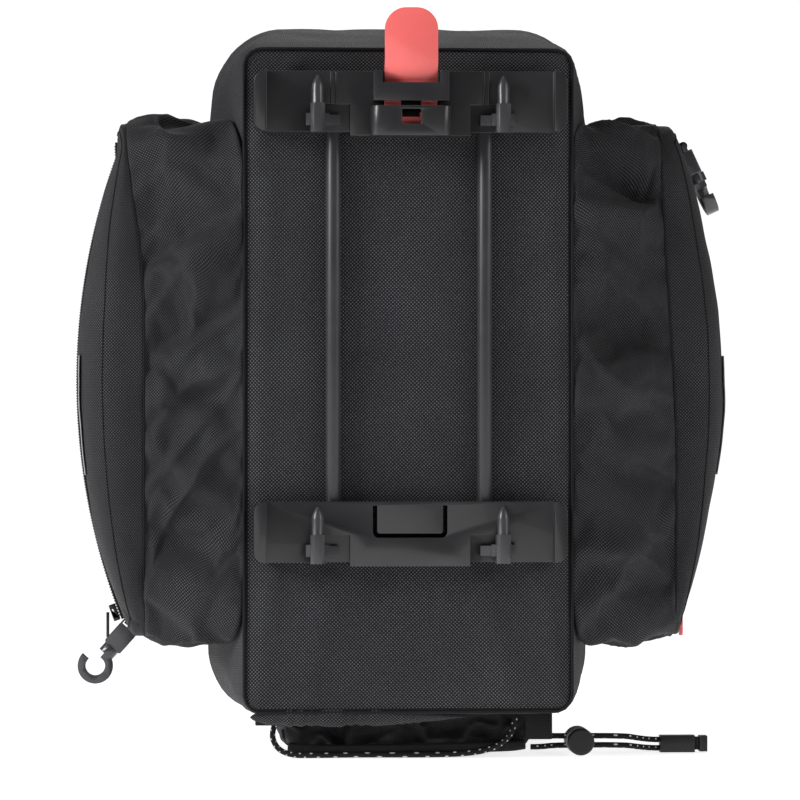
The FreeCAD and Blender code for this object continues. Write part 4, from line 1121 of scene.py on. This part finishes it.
def make_pocket():
    """The rear pocket, with a rolled hem along its lower front edge and its two webbing tabs."""
    half = (POCKET_HIGH.x - POCKET_LOW.x) / 2
    across = arch(7.0, half, POCKET_TOP)
    along = arch(9.0, POCKET_HIGH.y - POCKET_LOW.y, POCKET_TOP)

    def place(u, v):
        """A point of the pocket: its front is closed and its back is open."""
        x, up_x = across(u)
        y, up_y = along(v / 2)
        return pocket_point(x, y, up_x * up_y)
    bm = mapped(130, 120, place, Vector(((POCKET_LOW.x + POCKET_HIGH.x) / 2, -0.03, POCKET_TOP)))
    # The pocket's darker finish is painted shade for the shade under the bag's rear end.
    pocket = piece("pocket_fabric", bm, ["rear_pocket"], finish=finish_of("pocket_fabric"))
    thicken(pocket, 1.2 * MM)
    y = POCKET_LOW.y - 0.4 * MM
    points = [(POCKET_LOW.x + 3 * MM, y + 5 * MM, 5.5 * MM), (POCKET_LOW.x + 8 * MM, y, 4.6 * MM),
              (-20 * MM, y - 0.7 * MM, 4.4 * MM), (10 * MM, y, 5.0 * MM),
              (POCKET_HIGH.x - 12 * MM, y - 0.6 * MM, 5.6 * MM),
              (POCKET_HIGH.x - 4 * MM, y + 5 * MM, 6.4 * MM)]
    hem = swept(through(points), Z_AXIS, 5.4 * MM, 2.4 * MM, 120, 14)
    piece("pocket_hem", hem, body="root", slot="body_fabric", finish=finish_of("piping"))
    for node in ("webbing_loop_left", "webbing_loop_right"):
        softened(node, 0.5 * MM)


# ---- operators ----
class RACKBAG_OT_stage(bpy.types.Operator):
    """Makes the camera, the floor, the surround and the lights"""
    bl_idname = "rack_bag.stage"
    bl_label = "Stage"

    def execute(self, context):
        make_camera()
        make_floor()
        make_world()
        key = settings().key_light
        make_light("key", (-1.8, -0.8, 1.0), 0.7, 1.15 * key)
        make_light("fill", (1.7, -1.1, 0.9), 1.0, 0.40 * key)
        make_light("top", (0.0, -0.7, 2.0), 0.8, 0.08 * key)
        make_light("back", (0.2, 1.7, 1.6), 1.2, 0.35 * key)
        return {"FINISHED"}


class RACKBAG_OT_cords(bpy.types.Operator):
    """Makes the drawcord of the pocket and the two elastic strands, with what is on them"""
    bl_idname = "rack_bag.cords"
    bl_label = "Cords"

    def execute(self, context):
        fittings = [softened("elastic_end_hook", 0.4 * MM, finish_of("pull_black")),
                    softened("cord_lock_barrel", 0.5 * MM),
                    softened("cord_lock_button", 0.5 * MM), softened("cord_lock_spring", 0.1 * MM)]
        upper = cord_curve("strand_upper", STRAND_UPPER, "elastic_strand_upper", "elastic_short")
        lower = cord_curve("strand_lower", STRAND_LOWER, "elastic_strand_lower", "elastic_short")
        draw = cord_curve("drawcord", DRAWCORD, "pocket_drawcord", "elastic")
        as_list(fittings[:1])
        return {"FINISHED"}


class RACKBAG_OT_body(bpy.types.Operator):
    """Makes the body's walls and base"""
    bl_idname = "rack_bag.body"
    bl_label = "Body"

    def execute(self, context):
        make_walls()
        make_base()
        return {"FINISHED"}


class RACKBAG_OT_lid(bpy.types.Operator):
    """Makes the lid, the main zip and the handle"""
    bl_idname = "rack_bag.lid"
    bl_label = "Lid"

    def execute(self, context):
        make_lid()
        make_main_zip()
        make_handle()
        return {"FINISHED"}


class RACKBAG_OT_side_bags(bpy.types.Operator):
    """Makes both side bags: panels, gussets and zips"""
    bl_idname = "rack_bag.side_bags"
    bl_label = "Side bags"

    def execute(self, context):
        for side, way in (("left", -1), ("right", 1)):
            make_panel(side, way)
            make_gusset(side, way)
            make_bag_zip(side, way)
        return {"FINISHED"}


class RACKBAG_OT_pocket(bpy.types.Operator):
    """Makes the rear pocket"""
    bl_idname = "rack_bag.pocket"
    bl_label = "Rear pocket"

    def execute(self, context):
        make_pocket()
        return {"FINISHED"}


class RACKBAG_OT_adapter(bpy.types.Operator):
    """Makes the rack adapter: plates, rods, pegs, latch and lever"""
    bl_idname = "rack_bag.adapter"
    bl_label = "Rack adapter"

    def execute(self, context):
        for node in ("front_plate", "rear_plate", "latch_yoke", "latch_housing", "release_lever"):
            softened(node, 0.6 * MM)
        for node in ("rod_left", "rod_right", "peg_front_left", "peg_front_right", "peg_rear_left",
                     "peg_rear_right"):
            softened(node, 0.3 * MM)
        return {"FINISHED"}


class RACKBAG_OT_fittings(bpy.types.Operator):
    """Makes the sliders, pulls, strap hooks, rings and their webbing"""
    bl_idname = "rack_bag.fittings"
    bl_label = "Fittings"

    def execute(self, context):
        for side in ("left", "right"):
            for part in ("bag_slider", "strap_hook", "strap_loop"):
                softened(f"{side}_{part}", 0.4 * MM)
            softened(f"{side}_bag_pull", 0.4 * MM, finish_of("pull_red" if side == "right" else "pull_black"))
            for part in ("main_slider", "main_pull"):
                softened(f"{part}_{side}", 0.4 * MM)
        for node in ("ring_tab_front", "ring_tab_rear"):
            softened(node, 0.4 * MM)
        for node in ("d_ring_front", "d_ring_rear"):
            softened(node, 0.2 * MM)
        return {"FINISHED"}


class RACKBAG_OT_hidden(bpy.types.Operator):
    """Gives the pieces inside the bag their finishes"""
    bl_idname = "rack_bag.hidden"
    bl_label = "Inner pieces"

    def execute(self, context):
        for node in ("base_board", "lid_foam_board", "plate_screws", "plate_washers", "lever_pin",
                     "lever_spring"):
            mesh = frame["nodes"][node].data
            mesh.materials.clear()
            mesh.materials.append(finish_of("spring_steel") if node == "lever_spring" else finish_of(SLOT[node]))
        return {"FINISHED"}


class RACKBAG_PT_panel(bpy.types.Panel):
    """Lists the bag's pieces and settings"""
    bl_idname = "RACKBAG_PT_panel"
    bl_label = "Rack bag"
    bl_space_type = "VIEW_3D"
    bl_region_type = "UI"
    bl_category = "Rack bag"

    def draw(self, context):
        for name in RackBagSettings.__annotations__:
            self.layout.prop(context.scene.rack_bag, name)
        for operator in OPERATORS:
            self.layout.operator(operator.bl_idname)


OPERATORS = (RACKBAG_OT_stage, RACKBAG_OT_cords, RACKBAG_OT_body, RACKBAG_OT_lid, RACKBAG_OT_side_bags,
             RACKBAG_OT_pocket, RACKBAG_OT_adapter, RACKBAG_OT_fittings, RACKBAG_OT_hidden)
CLASSES = (RackBagSettings, *OPERATORS, RACKBAG_PT_panel)


def register():
    """Adds the classes and the scene's settings."""
    for cls in CLASSES:
        bpy.utils.register_class(cls)
    bpy.types.Scene.rack_bag = bpy.props.PointerProperty(type=RackBagSettings)


def unregister():
    """Takes them away again."""
    del bpy.types.Scene.rack_bag
    for cls in reversed(CLASSES):
        bpy.utils.unregister_class(cls)


def main():
    """Builds the bag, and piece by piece."""
    register()
    bpy.ops.rack_bag.stage()
    bpy.ops.rack_bag.cords()
    bpy.ops.rack_bag.body()
    bpy.ops.rack_bag.lid()
    bpy.ops.rack_bag.side_bags()
    bpy.ops.rack_bag.pocket()
    bpy.ops.rack_bag.adapter()
    bpy.ops.rack_bag.fittings()
    bpy.ops.rack_bag.hidden()


if __name__ == "__main__":
    main()
